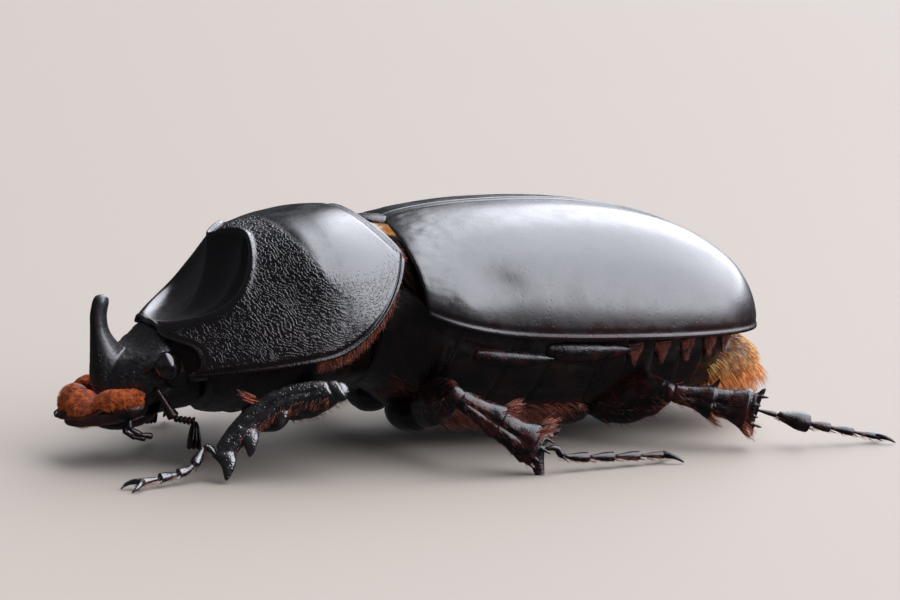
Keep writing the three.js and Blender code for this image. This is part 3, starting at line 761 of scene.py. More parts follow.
def prothorax_flank(points, inside, side, hind):
    """Short wavy wrinkles in arcs below and before the polished patch high on each flank."""
    back, up = points[..., 1] + 9.5, points[..., 2] - 12.6
    away = np.hypot(back, up)
    polished = up + 1.9 - np.where(back < 0, 0.55, 0.09) * back * back
    mask = 1 - smooth(polished, -0.9, 0.9)
    mask = mask * smooth(-inside, 0.15, 0.6) * smooth(side, 0.35, 0.8) * smooth(hind, 0.9, 1.3)
    warp = 1.5 * grain(points, 1.5) + 0.75 * grain(points, 0.6, 4.0)
    phase = away / 0.3 + warp + 0.3 * grain(points, 0.3, 7.0)
    ridges = (0.5 + 0.5 * np.sin(2 * PI * phase)) ** 1.2
    broken = 0.55 + 1.1 * grain(points, 0.42, 8.0)
    calm = mix(0.45, 1.0, smooth(-back, -2.0, 1.0))
    calm = calm * mix(0.6, 1.0, smooth(points[..., 2], 5.6, 7.6))
    return mask * ridges * np.clip(broken, 0, 1) * calm, mask, away / 0.2 + 1.4 * warp


def prothorax_core(x, z, t):
    """The prothorax under the pronotum, down to the breast between the front legs."""
    inside = PLATE + GAP + 0.05
    forward = mix(0.6, 10.8, t)
    corner = np.clip(1 - forward / PRONOTUM["corner_reach"], 0, 1)
    half = (pronotum_half_width(forward) - inside) * (1 - 0.35 * corner) - DENT["depth"]
    square = pronotum_squareness(forward)
    across = half * full(x, square)
    keel = 3.9 - 0.8 * ((forward - 6) / 5) ** 2
    dome = (pronotum_crown(forward) - inside) * full(np.maximum(z, 0), square)
    face = hollow_height(across, forward + 0.7) - inside - 0.2
    above = np.minimum(dome, np.maximum(0, face))
    below = -keel * full(np.maximum(-z, 0), 1.1)
    below = below - 0.12 * bell(np.sin(forward * 0.9 + np.abs(across) * 0.35), 0.25) * (z < -0.05)
    return prothorax_point(across, forward, np.where(z < 0, below, above))


# ------------------------------------------------------------------ hind body


def belly_height(y):
    rise = smooth(y, 9, BODY["back"])
    chest = 1 - smooth(y, BODY["front"], -1)
    return 0.75 + 2.0 * rise ** 1.6 + 2.0 * chest


def body_side(side, y, height):
    """The point of the body's flank at that y and height, below the rim of the wing cases."""
    y, height = np.asarray(y, float), np.asarray(height, float)
    rim, half, _, square = wing_section(y, PLATE + GAP)
    down = np.clip((rim - height) / (rim - belly_height(y)), 0, 1) ** (1 / 1.15)
    close = rounding((y - 13.5) / (BODY["back"] - 13.5), 2.6)
    across = (half - GAP / 2) * (1 - down ** 2) ** (0.5 * square) * close
    return np.stack([side * across, y, height], -1)


def hind_body(first, last):
    """The body under the wing cases between two values of y, ringed on the abdomen."""
    def place(x, z, t):
        y = mix(first, last, t)
        rim, half, crown, square = wing_section(y, PLATE + GAP)
        neck = mix(0.88, 1, smooth(y, BODY["front"], -3))
        close = rounding((y - 13.5) / (BODY["back"] - 13.5), 2.6) * neck
        across = (half - GAP / 2) * full(x, square) * close
        low = rim - (rim - belly_height(y)) * full(np.maximum(-z, 0), 1.15) * close
        high = rim + crown * full(np.maximum(z, 0), square) * close
        points = np.stack([across, y, np.where(z < 0, low, high)], -1)
        centre = np.stack([np.zeros_like(y), y, rim], -1)
        away = unit(points - centre)
        ring = np.zeros_like(y)
        for edge in STERNITES:
            ring += smooth(y, edge - 0.1, edge + 0.05) * (1 - smooth(y, edge, edge + 1.6))
        under = smooth(-z, -0.02, 0.15)
        relief = -0.22 * ring * under
        plates = bell(z + 0.26 + 0.02 * (y - 2), 0.035) + bell(z + 0.62, 0.03)
        relief = relief - 0.1 * plates * (y < 6.5) * (y > -4)
        for edge in (-2.4, 0.9, 3.4):
            relief = relief - 0.12 * bell(y - edge - 1.6 * z, 0.14) * under * (y < 6)
        return points + away * relief[..., None]

    return place


# ------------------------------------------------------------------ head


def head_point(x, forward, height):
    h = HEAD
    c, s = math.cos(h["pitch"]), math.sin(h["pitch"])
    return np.stack([x, h["y"] - forward * c - height * s, h["z"] - forward * s + height * c], -1)


def head_capsule(x, z, t):
    h = HEAD
    reach = 0.5 - 0.5 * np.cos(t * PI)
    forward = mix(h["back"], h["front"], reach)
    end = rounding(np.abs(2 * reach - 1), 4)
    width = mix(h["half_width"], h["clypeus"], smooth(t, 0.35, 0.95))
    top = h["top"] - 0.6 * smooth(t, 0.5, 1)
    bottom = h["bottom"] + 0.9 * smooth(t, 0.4, 1)
    height = np.where(z > 0, top * full(z, 0.75), -bottom * full(z, 0.75))
    points = head_point(width * full(x, 0.75) * end, forward, height * end)
    sunk = bell(forward - 0.9, 0.9) * bell(x, 0.75) * smooth(z, 0.2, 0.7)
    return points - vec(0, -0.55, 0.85) * (0.4 * sunk)[..., None]


def horn_place(x, z, t):
    """Flat in front, narrower behind, leaning back at its blunt tip."""
    h = HORN
    height = mix(h["foot"], h["tip"], t ** 0.9)
    rise = (height - h["foot"]) / (h["tip"] - h["foot"])
    front = h["front"] + 0.2 * smooth(rise, 0.75, 1)
    foot_share = (1 - smooth(rise, -0.2, 0.85)) ** 2
    thick = h["thick"] + h["swell"] * (1 - np.exp(-3 * foot_share))
    blunt = rounding((rise - 0.9) / 0.1, 2) * 0.75 + 0.25
    blunt = blunt * rounding((t - 0.985) / 0.015, 2)
    narrow = np.where(z > 0, 1 - 0.32 * z, 1.0)
    deep = np.where(z < 0, -np.abs(z) ** 0.75, z)
    return np.stack([full(x, 0.85) * thick * h["wide"] * blunt * narrow,
                     front + thick / 2 + deep * thick * blunt / 2, height], -1)


# ------------------------------------------------------------------ legs

FLARED_SHIN = {
    "width": (0.5, 0.62, 0.75, 0.85, 0.95, 1.1), "depth": (0.48, 0.52, 0.55, 0.58, 0.6, 0.6),
}

# teeth are (place along the shin, length, lean towards the toes, thickness)
LEGS = {
    "front": {
        "hip": (3.3, -12.4, 2.8), "knee": (10.5, -10.5, 5.0), "ankle": (8.5, -17.0, 1.4),
        "broad": (0.35, -0.25, -0.9), "plump": 1.0, "bow": -1.2,
        "toes": ((7.6, -17.5, 1.85), (8.2, -18.7, 0.8), (8.9, -21.6, 0.45)),
        "right": {"knee": (0.2, 0.8, 0), "ankle": (0.3, 2.2, 0), "toes": (1.2, 2.7, 0)},
        "width": (0.62, 0.72, 0.74, 0.76, 0.72, 0.6), "depth": (0.55, 0.6, 0.6, 0.55, 0.48, 0.4),
        "teeth": ((0.47, 1.15, 0.5, 0.5), (0.76, 1.4, 0.35, 0.62), (0.96, 1.3, 0.55, 0.55)),
    },
    "middle": {
        "hip": (3.4, -3.6, 2.2), "knee": (11.5, -4.0, 4.5), "ankle": (13.2, 0.4, 1.35),
        "broad": (0.1, -0.4, -0.9), "plump": 1.35, "bow": 0.0,
        "toes": ((13.3, 1.35, 1.45), (13.25, 2.4, 0.85), (13.1, 8.2, 0.5)),
        "right": {"knee": (-0.2, -0.5, 0), "ankle": (-0.1, -0.9, 0), "toes": (0, -1.1, 0)},
        **FLARED_SHIN,
        "teeth": ((0.5, -1.1, 0.5, 0.3), (0.96, 1.2, 1.5, 0.6), (0.96, -1.3, 0.6, 0.4)),
    },
    "hind": {
        "hip": (3.6, 6.2, 2.0), "knee": (9.6, 10.2, 3.4), "ankle": (11.5, 14.8, 2.35),
        "broad": (0.2, 0.0, 1), "plump": 1.5, "bow": 0.0,
        "toes": ((11.65, 15.3, 2.25), (12.2, 18.2, 1.4), (12.5, 22.3, 0.42)),
        "right": {"knee": (0.1, -0.3, 0), "ankle": (0.2, -0.5, 0), "toes": (0.3, -0.6, 0)},
        **FLARED_SHIN,
        "teeth": ((0.5, 1.25, 0.3, 0.35), (0.97, 1.2, 0.5, 0.4), (0.97, -1.3, 0.4, 0.4)),
        "toe_sizes": (0.2, 0.68, 0.36, 0.3, 0.27), "toe_breaks": (0.0, 0.17, 0.42, 0.6, 0.8, 1.0),
    },
}


def leg_points(pair, side):
    """The joints of one leg; the right legs are mirrored, a little shifted."""
    leg = LEGS[pair]
    flip = vec(side, 1, 1)

    def place(point, joint):
        return (vec(*point) + vec(*leg["right"][joint]) * (side < 0)) * flip

    return {
        "hip": vec(*leg["hip"]) * flip, "broad": vec(*leg["broad"]) * flip,
        "knee": place(leg["knee"], "knee"), "ankle": place(leg["ankle"], "ankle"),
        "toes": [place(leg["toes"][0], "ankle"), *(place(p, "toes") for p in leg["toes"][1:])],
        "side": side, "pair": pair,
    }


def curve(points):
    """A smooth path through some points: place(t) and direction(t)."""
    knots = np.array([2 * points[0] - points[1], *points, 2 * points[-1] - points[-2]])
    spans = len(points) - 1

    def raw(t):
        i = np.clip(np.floor(t * spans).astype(int), 0, spans - 1)
        s = (t * spans - i)[..., None]
        p0, p1, p2, p3 = (knots[i + k] for k in range(4))
        return 0.5 * (2 * p1 + (p2 - p0) * s + (2 * p0 - 5 * p1 + 4 * p2 - p3) * s ** 2
                      + (3 * p1 - p0 - 3 * p2 + p3) * s ** 3)

    fine = np.linspace(0, 1, 200)
    steps = np.linalg.norm(np.diff(raw(fine), axis=0), axis=1)
    reach = np.concatenate([[0], np.cumsum(steps)]) / np.sum(steps)

    def place(t):
        return raw(np.interp(np.asarray(t, float), reach, fine))

    def direction(t):
        t = np.asarray(t, float)
        return unit(place(np.minimum(t + 0.01, 1)) - place(np.maximum(t - 0.01, 0)))

    return place, direction


def coxa(leg, name):
    """The hip, with the small trochanter that carries the thigh."""
    along = unit(leg["knee"] - leg["hip"])
    long = 2.2 if leg["pair"] != "hind" else 2.3
    hip = egg(name, leg["hip"], (long, 1.35, 1.2), 40, 24, 0.25)
    wedge = limb(name + "_wedge", leg["hip"] - along * 0.6, leg["hip"] + along * 2.3,
                 vec(0, 0.6, 0.8), profile(1.0, 1.1, 0.7), profile(0.8, 0.75, 0.5), sides=24,
                 steps=16, ends=0.3)
    return roughen(fuse(name, [hip, wedge], 0.1, 4), (0.9, 0.05, 2.0), (0.3, 0.02, 4.0))


def thigh_shape(leg):
    plump = LEGS[leg["pair"]]["plump"]
    along = unit(leg["knee"] - leg["hip"])
    return (leg["hip"] + along * 1.5, leg["knee"] + along * 0.1, vec(0, 0.25, 1),
            profile(*(plump * v for v in (0.55, 0.98, 1.06, 0.86, 0.42))),
            profile(*(plump * v for v in (0.45, 0.6, 0.62, 0.52, 0.36))))


def femur(leg, name):
    start, end, broad, wide, deep = thigh_shape(leg)

    def surface(points, spine, x, z, t):
        away = unit(points - spine)
        seam = bell(x + 0.55, 0.12) * smooth(t, 0.15, 0.3) * (1 - smooth(t, 0.85, 0.95))
        return points - away * (0.09 * seam)[..., None]

    shaft = limb(name + "_shaft", start, end, broad, wide, deep, ends=0.1, sides=44, steps=60,
                 surface=surface)
    lobe = egg(name + "_lobe", leg["knee"], (0.5, 0.5, 0.56), sides=20, rings=14)
    piece = fuse(name, [shaft, lobe], 0.07, 3)
    return roughen(piece, (0.8, 0.05, 1.0), (0.22, 0.008, 5.0))


def shin_line(leg):
    """Start, end and frame of a shin."""
    along = unit(leg["ankle"] - leg["knee"])
    start = leg["knee"] - along * 0.25
    across, upward = limb_frame(start, leg["ankle"], leg["broad"])
    return start, leg["ankle"], along, across, upward


def tibia(leg, name):
    spec = LEGS[leg["pair"]]
    start, end, along, across, upward = shin_line(leg)
    wide, deep = profile(*spec["width"]), profile(*spec["depth"])
    front = leg["pair"] == "front"

    def surface(points, spine, x, z, t):
        away = unit(points - spine)
        groove = bell(x - 0.1, 0.13) * smooth(t, 0.12, 0.25) * (1 - smooth(t, 0.75, 0.95))
        relief = -0.14 * groove * (np.abs(z) > 0.3)
        relief = relief - 0.08 * bell(t - 0.085, 0.012)
        if not front:
            for at in (0.52, 0.9):
                step = smooth(t, at - 0.2, at) * (1 - smooth(t, at, at + 0.03))
                relief = relief + 0.3 * step * mix(1.0, 0.5, smooth(x, -0.2, 0.6))
        return points + away * relief[..., None]

    parts = [limb(name + "_shaft", start, end, leg["broad"], wide, deep, bow=spec["bow"],
                  sides=48, steps=110, ends=0.06, square=0.9, surface=surface)]
    for at, length, lean, thick in spec["teeth"]:
        root = mix(start, end, at) + across * (spec["bow"] * math.sin(PI * at))
        root = root + across * np.sign(length) * 0.1
        tip = root + across * (length + np.sign(length) * 0.2) + along * lean
        curl = along * (-0.25 if front else -0.1) + upward * 0.1
        parts.append(spike(name + "_tooth", root, tip, thick * (1.25 if front else 1.0), 20, 16,
                           curl=curl, blunt=0.1, broad=along, flat=0.62))
    if not front:
        for k in range(9):
            turn = k * 2 * PI / 9 + 0.4
            out = across * math.cos(turn) * 0.95 + upward * math.sin(turn) * 0.45
            root = end + out - along * 0.35
            tip = end + out * 1.15 + along * (0.3 + 0.35 * (k % 3 == 0))
            parts.append(spike(name + "_spur", root, tip, 0.15, 8, 6, blunt=0.35))
    piece = fuse(name, parts, 0.05, 2)
    return level(roughen(piece, (0.7, 0.03, 1.0), (0.18, 0.008, 5.0)))


def tarsus(leg, name):
    """Five toe joints, each flared at its far end, and a pair of curved claws."""
    place, direction = curve([leg["ankle"], *leg["toes"]])
    sizes = LEGS[leg["pair"]].get("toe_sizes", (0.24, 0.33, 0.32, 0.31, 0.27))
    breaks = LEGS[leg["pair"]].get("toe_breaks", (0.0, 0.2, 0.4, 0.6, 0.8, 1.0))
    parts = []
    for joint in range(5):
        low, high = breaks[joint], breaks[joint + 1]
        high, size = high + 0.1 * (high - low), sizes[joint]

        def ring(x, z, t):
            at = np.clip(mix(low, high, t), 0, 1)
            along = direction(at)
            across = unit(np.cross(along, vec(0, 0, 1)) + 1e-9)
            up = np.cross(across, along)
            flare = mix(0.42, 1.0, smooth(t, 0.0, 0.75)) * closing(t, 0.22)
            slim = flare * size * (1 if joint < 4 else 0.85)
            extra = (mix(low, high, t) - at) * 4.0
            return (place(at) + along * extra[..., None] + across * (x * slim)[..., None]
                    + up * (z * slim * 0.85)[..., None])

        parts.append(tube(name + "_joint", 14, 10, ring))
        along = direction(np.array(high - 0.03))
        for turn in (-1, 1):
            sideways = unit(np.cross(along, vec(0, 0, 1)))
            root = place(np.array(min(high - 0.03, 1))) - vec(0, 0, size * 0.35)
            root = root + sideways * turn * size * 0.5
            tip = root + along * 0.45 + vec(0, 0, -0.12) + sideways * turn * 0.15
            parts.append(spike(name + "_spine", root, tip, 0.06, 5, 3))
    end, along = place(np.array(1.0)), direction(np.array(1.0))
    along = unit(along * vec(1, 1, 0))
    sideways = vec(-along[1], along[0], 0)
    for turn in (-1, 1):
        root = end + along * -0.1 + vec(0, 0, 0.02)
        tip = end + along * 1.0 + sideways * turn * 0.62
        tip[2] = 0.07
        curl = sideways * turn * 0.22 + vec(0, 0, 0.12)
        parts.append(spike(name + "_claw", root, tip, 0.2, 10, 12, curl=curl, blunt=0.2))
    return level(join(name, parts))


# ------------------------------------------------------------------ mouth and feelers


def mandible(side, name):
    """A broad jaw, hollow like a spoon above, with a two-lobed tip."""
    start, end = vec(side * 1.75, -20.0, 3.25), vec(side * 0.95, -23.75, 2.6)

    def surface(points, spine, x, z, t):
        away = unit(points - spine)
        notch = bell(t - 0.95, 0.04) * bell(x * side - 0.1, 0.3)
        spoon = smooth(z, 0.1, 0.8) * bell(t - 0.62, 0.3)
        return points + away * (-0.3 * notch - 0.35 * spoon)[..., None]

    return limb(name, start, end, vec(1, 0, 0), profile(0.7, 1.0, 1.1, 0.95, 0.5),
                profile(0.6, 0.7, 0.62, 0.5, 0.3), sides=40, steps=36, ends=0.14,
                square=0.85, surface=surface)


def pad_shapes(side):
    """Skins of the two hairy pads above each jaw: place(x, z, t)."""
    def ball(x, z, t):
        radius = np.sin(t * PI)
        return vec(side * 1.0, -22.5, 3.32) + np.stack(
            [0.85 * x * radius, -0.9 * np.cos(t * PI), 1.02 * z * radius], -1)

    def roll(x, z, t):
        radius = np.sin(t * PI) ** 0.6
        spine = mix(vec(side * 2.3, -22.4, 3.95), vec(side * 3.1, -19.65, 4.05), t[..., None])
        high = 0.54 * z * radius * (1 + 0.12 * np.sin(9 * t))
        return spine + np.stack([0.6 * x * radius, -0.15 * x * radius, high], -1)

    return ball, roll


def palp(name, side, joints, thin, thick, overlap, steps):
    """The three joints of a palp, each running a little way into the next."""
    parts = []
    for k in range(3):
        a, b = (vec(side * p[0], p[1], p[2]) for p in joints[k:k + 2])
        girth = profile(thin, thick)
        parts.append(limb(name + "_palp", a, b + (b - a) * overlap, vec(1, 0, 0), girth, girth,
                          sides=14, steps=steps, ends=0.3))
    return parts


def maxilla(side, name):
    base = egg(name + "_base", vec(side * 2.6, -20.4, 3.35), (0.65, 1.15, 0.65), 22, 14, 0.1)
    joints = ((2.75, -20.4, 3.0), (2.95, -20.5, 2.3), (3.0, -19.9, 1.9), (2.95, -19.2, 1.75))
    return fuse(name, [base, *palp(name, side, joints, 0.14, 0.21, 0.1, 10)], 0.06, 2)


def labium(name):
    parts = [egg(name + "_plate", vec(0, -19.9, 2.5), (1.7, 1.9, 0.75), 36, 20, 0.12)]
    joints = ((1.0, -20.2, 2.2), (1.4, -20.3, 1.75), (1.6, -19.8, 1.45), (1.65, -19.2, 1.35))
    for side in (-1, 1):
        parts += palp(name, side, joints, 0.11, 0.17, 0.12, 8)
    return fuse(name, parts, 0.07, 2)


def antenna(side, name):
    """Scape, small funicle joints and the folded three-leaved club."""
    def at(x, y, z):
        return vec(side * x, y, z)

    girth = profile(0.2, 0.22, 0.36)
    parts = [limb(name + "_scape", at(3.0, -18.9, 4.5), at(3.5, -18.0, 2.8), vec(1, 0, 0),
                  girth, girth, sides=18, steps=18)]
    start, end = at(3.5, -18.05, 2.8), at(3.88, -16.95, 2.6)
    for k in range(5):
        a, b = mix(start, end, k / 5), mix(start, end, (k + 1.25) / 5)
        girth = profile(0.17, 0.22 + 0.02 * k)
        parts.append(limb(name + "_bead", a, b, vec(1, 0, 0), girth, girth, sides=14, steps=10,
                          ends=0.7))
    for place in (-1, 0, 1):
        parts.append(limb(name + "_leaf", at(3.85, -16.9 + 0.08 * place, 2.6),
                          at(4.25 + 0.12 * place, -17.1 + 0.26 * place, 1.05),
                          vec(1, 0, 0.2), profile(0.16, 0.42, 0.5, 0.34),
                          profile(0.09, 0.12, 0.12), sides=18, steps=18, ends=0.25))
    return join(name, parts)


# ------------------------------------------------------------------ what a user may change


def colour(name, text, default):
    return bpy.props.FloatVectorProperty(name=name, description=text, default=default, size=3,
                                         min=0, max=1, subtype="COLOR")


def length(name, text, default):
    return bpy.props.FloatProperty(name=name, description=text, default=default * MM, min=0,
                                   precision=5, unit="LENGTH")


def amount(name, text, default, low=0, high=10):
    return bpy.props.FloatProperty(name=name, description=text, default=default, min=low,
                                   max=high)


class BeetleFinish(bpy.types.PropertyGroup):
    """Colours and shine of the shell, legs and bristles."""

    black: colour("Black shell", "Chitin where it is thick", (0.0018, 0.0016, 0.0022))
    # Red shell is laid on low down: partly the chitin's own red-brown, partly a painted reflection
    # of the floor.
    red: colour("Red shell", "Chitin of the wing cases and pronotum where it is thin",
                (0.040, 0.006, 0.0045))
    underside: colour("Underside", "Chitin of the belly", (0.020, 0.0045, 0.0025))
    leg: colour("Legs", "Chitin of the legs", (0.035, 0.004, 0.004))
    bristle: colour("Bristles", "Red-orange hair", (0.34, 0.055, 0.010))
    pale_bristle: colour("Pale bristles", "Hair of the tail", (0.46, 0.135, 0.025))
    membrane: colour("Membrane", "Soft skin between the plates", (0.34, 0.31, 0.28))
    gloss: amount("Roughness", "Roughness of the black shell", 0.26, high=1)
    index: amount("Refraction", "Refractive index of the shell", 1.8, 1, 3)


class BeetleRelief(bpy.types.PropertyGroup):
    """Heights of the fine relief."""

    bead: length("Rim bead", "Height of the bead along a plate's rim", 0.1)
    wrinkle: length("Wrinkles", "Height of the wrinkles on the flanks of the pronotum", 0.018)
    unevenness: length("Unevenness", "Waviness of the wing cases", 0.02)
    shell: length("Shell", "Thickness of the pronotum and wing cases", 0.5)
    fillet: length("Fillet", "Fineness of parts that are grown together", 0.055)


class BeetleStudio(bpy.types.PropertyGroup):
    """The floor and the light."""

    floor: colour("Floor", "Colour of the floor", (0.37, 0.325, 0.275))
    sky: amount("Near sky", "Brightness above the beetle's tail", 4.5)
    far_sky: amount("Far sky", "Brightness above the beetle's head", 0.06)
    dim: amount("Horizon", "Brightness near the horizon", 0.04)


class BeetlePiece:
    """What the operators of the beetle share."""

    bl_options = {"REGISTER"}

    def setup(self, context):
        self.look = context.scene.beetle_finish
        self.relief = context.scene.beetle_relief
        if context.mode != "OBJECT":
            bpy.ops.object.mode_set(mode="OBJECT")


# ------------------------------------------------------------------ operators


class BEETLE_OT_pronotum(BeetlePiece, bpy.types.Operator):
    """Adds the pronotum with its hollow, rims, wrinkled flanks and flat hind border"""

    bl_idname = "beetle.pronotum"
    bl_label = "Pronotum"

    def execute(self, context):
        self.setup(context)
        bead, wrinkle = self.relief.bead / MM, self.relief.wrinkle / MM

        def place(u, v):
            return pronotum_surface(u, v, bead, wrinkle)

        piece = sheet("pronotum_shell", 300, 156, place)
        wall(piece, (0, -11, 6), self.relief.shell / MM * 0.5)
        finish = shell_finish("Pronotum chitin", self.look, wrinkled=True, pit_size=0.2,
                              low_red_and_painted_reflection=0.2, gloss=0.22)
        done(piece, finish, "shell", "pronotum")
        return {"FINISHED"}


class BEETLE_OT_wing_cases(BeetlePiece, bpy.types.Operator):
    """Adds the two wing cases with their rims, shoulder knobs and faint ribs"""

    bl_idname = "beetle.wing_cases"
    bl_label = "Wing Cases"

    def execute(self, context):
        self.setup(context)
        bead, uneven = self.relief.bead / MM, self.relief.unevenness / MM
        finish = shell_finish("Wing case chitin", self.look, pit_size=0.28, low_red_and_painted_reflection=0.55)
        for side, name in SIDES:
            def place(u, v):
                return wing_case_surface(u, v, bead, uneven) * vec(side, 1, 1), {}

            piece = sheet("wing_case_" + name, 130, 210, place)
            wall(piece, (side * 3, 6, 6), self.relief.shell / MM)
            done(piece, finish, "shell", "elytron_" + name)
        return {"FINISHED"}


class BEETLE_OT_waist(BeetlePiece, bpy.types.Operator):
    """Adds the small shield between the wing cases and the soft skin in front of it"""

    bl_idname = "beetle.waist"
    bl_label = "Scutellum and Membrane"

    def execute(self, context):
        self.setup(context)

        def shield(points):
            narrow = 1 - 0.5 * smooth(points[..., 1], -4.2, -2.4)
            points = points * np.stack([narrow, narrow * 0 + 1, narrow * 0 + 1], -1)
            return points + vec(0, 0, 0.03) * grain(points, 0.4)[..., None]

        piece = egg("scutellum_shield", vec(0, -4.3, 12.98), (1.7, 1.6, 0.42), 48, 28, -0.14,
                    shield)
        finish = leg_finish("Scutellum chitin", self.look, 1.3, 0.02, 0.3)
        done(piece, finish, "shell", "scutellum")

        def place(u, v):
            s = 2 * u - 1
            front, _ = pronotum_skin(0.5 + 0.49 * s, 0.05 + 0 * v, 0.45)
            back = wing_skin(np.abs(s), 0.02 + 0 * v, 0.5) * np.stack(
                [np.sign(s) + (s == 0), 1 + 0 * s, 1 + 0 * s], -1)
            points = mix(front, back, v[..., None])
            centre = np.stack([0 * s, points[..., 1], 6.5 + 0 * s], -1)
            sag = -0.16 * np.sin(PI * v) + 0.05 * np.sin(v * 17 + grain(points, 1.2) * 3)
            sag = sag + 0.05 * grain(points, 0.5, 2.0)
            wide = np.abs(s) + 0.02 * grain(points, 0.9, 6.0)
            # brown mask: amber towards the wing cases and outwards; above 1 it turns near-black,
            # painted shade in the middle under the scutellum and at the sides in the gap between
            # the plates.
            brown = 0.55 * np.maximum(smooth(v, 0.45, 0.8), smooth(wide, 0.21, 0.31))
            brown = brown + 0.65 * smooth(wide, 0.3, 0.38) + 1.2 * smooth(-wide, -0.17, -0.07)
            return points + unit(points - centre) * sag[..., None], {"brown": brown}

        piece = sheet("waist_membrane", 200, 24, place)
        wall(piece, (0, -5, 6), 0.08)
        # The last colour, near-black, is painted shade on the skin under the scutellum and between
        # the plates.
        skin = membrane_finish("Waist membrane", self.look.membrane, (0.26, 0.10, 0.018),
                               (0.006, 0.002, 0.0015))
        done(piece, skin, "membrane")
        return {"FINISHED"}


class BEETLE_OT_underside(BeetlePiece, bpy.types.Operator):
    """Adds the breast, the ringed belly and the tail plate"""

    bl_idname = "beetle.underside"
    bl_label = "Underside"

    def execute(self, context):
        self.setup(context)
        finish = under_finish("Belly chitin", self.look)
        breast = tube("breast_front", 120, 60, prothorax_core)
        done(breast, finish, "underside", "prosternum")
        chest = tube("breast_hind", 180, 120, hind_body(BODY["front"], BODY["chest_end"]))
        done(chest, finish, "underside", "thorax")
        belly = tube("belly", 180, 120, hind_body(BODY["chest_end"], BODY["rump"] + 0.05))
        done(belly, finish, "underside", "abdomen")
        gloss = leg_finish("Side plate chitin", self.look)
        flesh = bristle_finish("Side membrane", (0.03, 0.004, 0.002), (0.16, 0.02, 0.006), 0.5)
        for side, word in SIDES:
            blades = []
            for y, height, far_y, far_height, wide in ((-1.6, 6.2, 3.4, 5.65, 0.5),
                                                       (2.7, 6.25, 8.2, 5.95, 0.62)):
                start = body_side(side, y, height) - vec(side * 0.12, 0, 0)
                end = body_side(side, far_y, far_height) - vec(side * 0.05, 0, 0)
                blades.append(limb("blade", start, end, vec(0, 0.1, 1),
                                   profile(*(wide * k for k in (0.7, 1.0, 1.0, 0.8, 0.3))),
                                   profile(0.3, 0.42, 0.4, 0.34, 0.2), sides=36, steps=50,
                                   bow=-0.1, ends=0.1))
            done(join("side_plates_" + word, blades), gloss, "underside")
            folds = []
            for y in SIDE_FOLDS:
                start, end = body_side(side, y, 6.35), body_side(side, y + 0.1, 4.95)
                folds.append(limb("fold", start - vec(side * 0.1, 0, 0), end, vec(0, 1, 0),
                                  profile(0.6, 0.5, 0.26, 0.08), profile(0.22, 0.22, 0.14, 0.08),
                                  sides=24, steps=24, ends=0.1))
            done(join("side_folds_" + word, folds), flesh, "membrane")
        rump = tube("tail_core", 96, 30, hind_body(BODY["rump"], BODY["back"]))
        cap = egg("tail_cap", vec(*TAIL["middle"]), TAIL["half"], sides=96, rings=60)
        plate = fuse("tail_plate", [cap, rump], 0.1, 3)
        felt = bristle_finish("Tail plate", (0.015, 0.003, 0.002), (0.07, 0.014, 0.004), 0.8)
        done(plate, felt, "underside", "pygidium")
        return {"FINISHED"}


class BEETLE_OT_head(BeetlePiece, bpy.types.Operator):
    """Adds the head grown together with its horn, the neck and the eyes"""

    bl_idname = "beetle.head"
    bl_label = "Head"

    def execute(self, context):
        self.setup(context)
        skull = tube("skull", 72, 56, head_capsule)

        def neck_place(x, z, t):
            forward = mix(PRONOTUM["length"] + 0.6, 11.0, t)
            return prothorax_point(2.9 * x, forward, -0.9 + 1.9 * z)

        nape = tube("nape", 48, 10, neck_place)
        horn = tube("horn", 64, 90, horn_place)
        brow = [egg("brow", vec(s * 2.75, -19.0, 6.0), (0.75, 0.85, 0.35), 24, 14, math.radians(38))
                for s in (-1, 1)]
        brow += [egg("cheek", vec(s * 2.95, -17.7, 5.6), (0.9, 1.0, 1.1), 24, 14)
                 for s in (-1, 1)]
        piece = fuse("head_and_horn", [skull, nape, horn] + brow, self.relief.fillet / MM, 9)

        def off_horn(points):
            return 1 - 0.85 * smooth(points[:, 2], 5.0, 6.6) * smooth(-points[:, 1], 19.5, 20.5)

        roughen(piece, (0.9, 0.05, 1.0), (0.24, 0.022, 3.0), (0.13, 0.014, 6.0), mask=off_horn)
        finish = shell_finish("Head chitin", self.look, pit_size=0.17, pit_depth=0.05, gloss=0.43,
                              low_red_and_painted_reflection=0.12)
        done(piece, finish, "shell", "head", "horn")

        def collar_place(x, z, t):
            forward = mix(10.8, 12.9, t)
            high = np.where(z > 0, mix(2.0, 1.5, t), mix(1.6, 1.5, t))
            across = mix(4.75, 3.1, t) * full(x, 0.8)
            return prothorax_point(across, forward, 0.4 + high * full(z, 0.8))

        collar = roughen(tube("neck_membrane", 72, 30, collar_place), (0.5, 0.08, 2.0))
        flesh = bristle_finish("Neck membrane", (0.003, 0.001, 0.001), (0.016, 0.002, 0.0015), 1.2)
        done(collar, flesh, "membrane")
        shine = eye_finish("Eye", self.look)
        for side, name in SIDES:
            ball = egg("eye_ball_" + name, vec(*EYE["middle"]) * vec(side, 1, 1), EYE["half"],
                       sides=56, rings=36)
            done(ball, shine, "eye", "eye_" + name)
        return {"FINISHED"}


class BEETLE_OT_mouth(BeetlePiece, bpy.types.Operator):
    """Adds the jaws, the palps, the lower lip and the antennae"""

    bl_idname = "beetle.mouth"
    bl_label = "Mouth and Antennae"

    def execute(self, context):
        self.setup(context)
        jaw = shell_finish("Jaw chitin", self.look, gloss=0.18)
        brown = leg_finish("Mouth chitin", self.look)
        felt = bristle_finish("Felted pad", (0.12, 0.015, 0.003), self.look.bristle, 0.3)
        for side, name in SIDES:
            done(mandible(side, "jaw_" + name), jaw, "mouth", "mandible_" + name)
            pads = [tube("pad", 40, 40, shape) for shape in pad_shapes(side)]
            done(join("mouth_pad_" + name, pads), felt, "setae")
            done(maxilla(side, "maxilla_palp_" + name), brown, "mouth", "maxilla_" + name)
            done(antenna(side, "feeler_" + name), brown, "underside", "antenna_" + name)
        done(labium("lower_lip"), brown, "mouth", "labium")
        return {"FINISHED"}


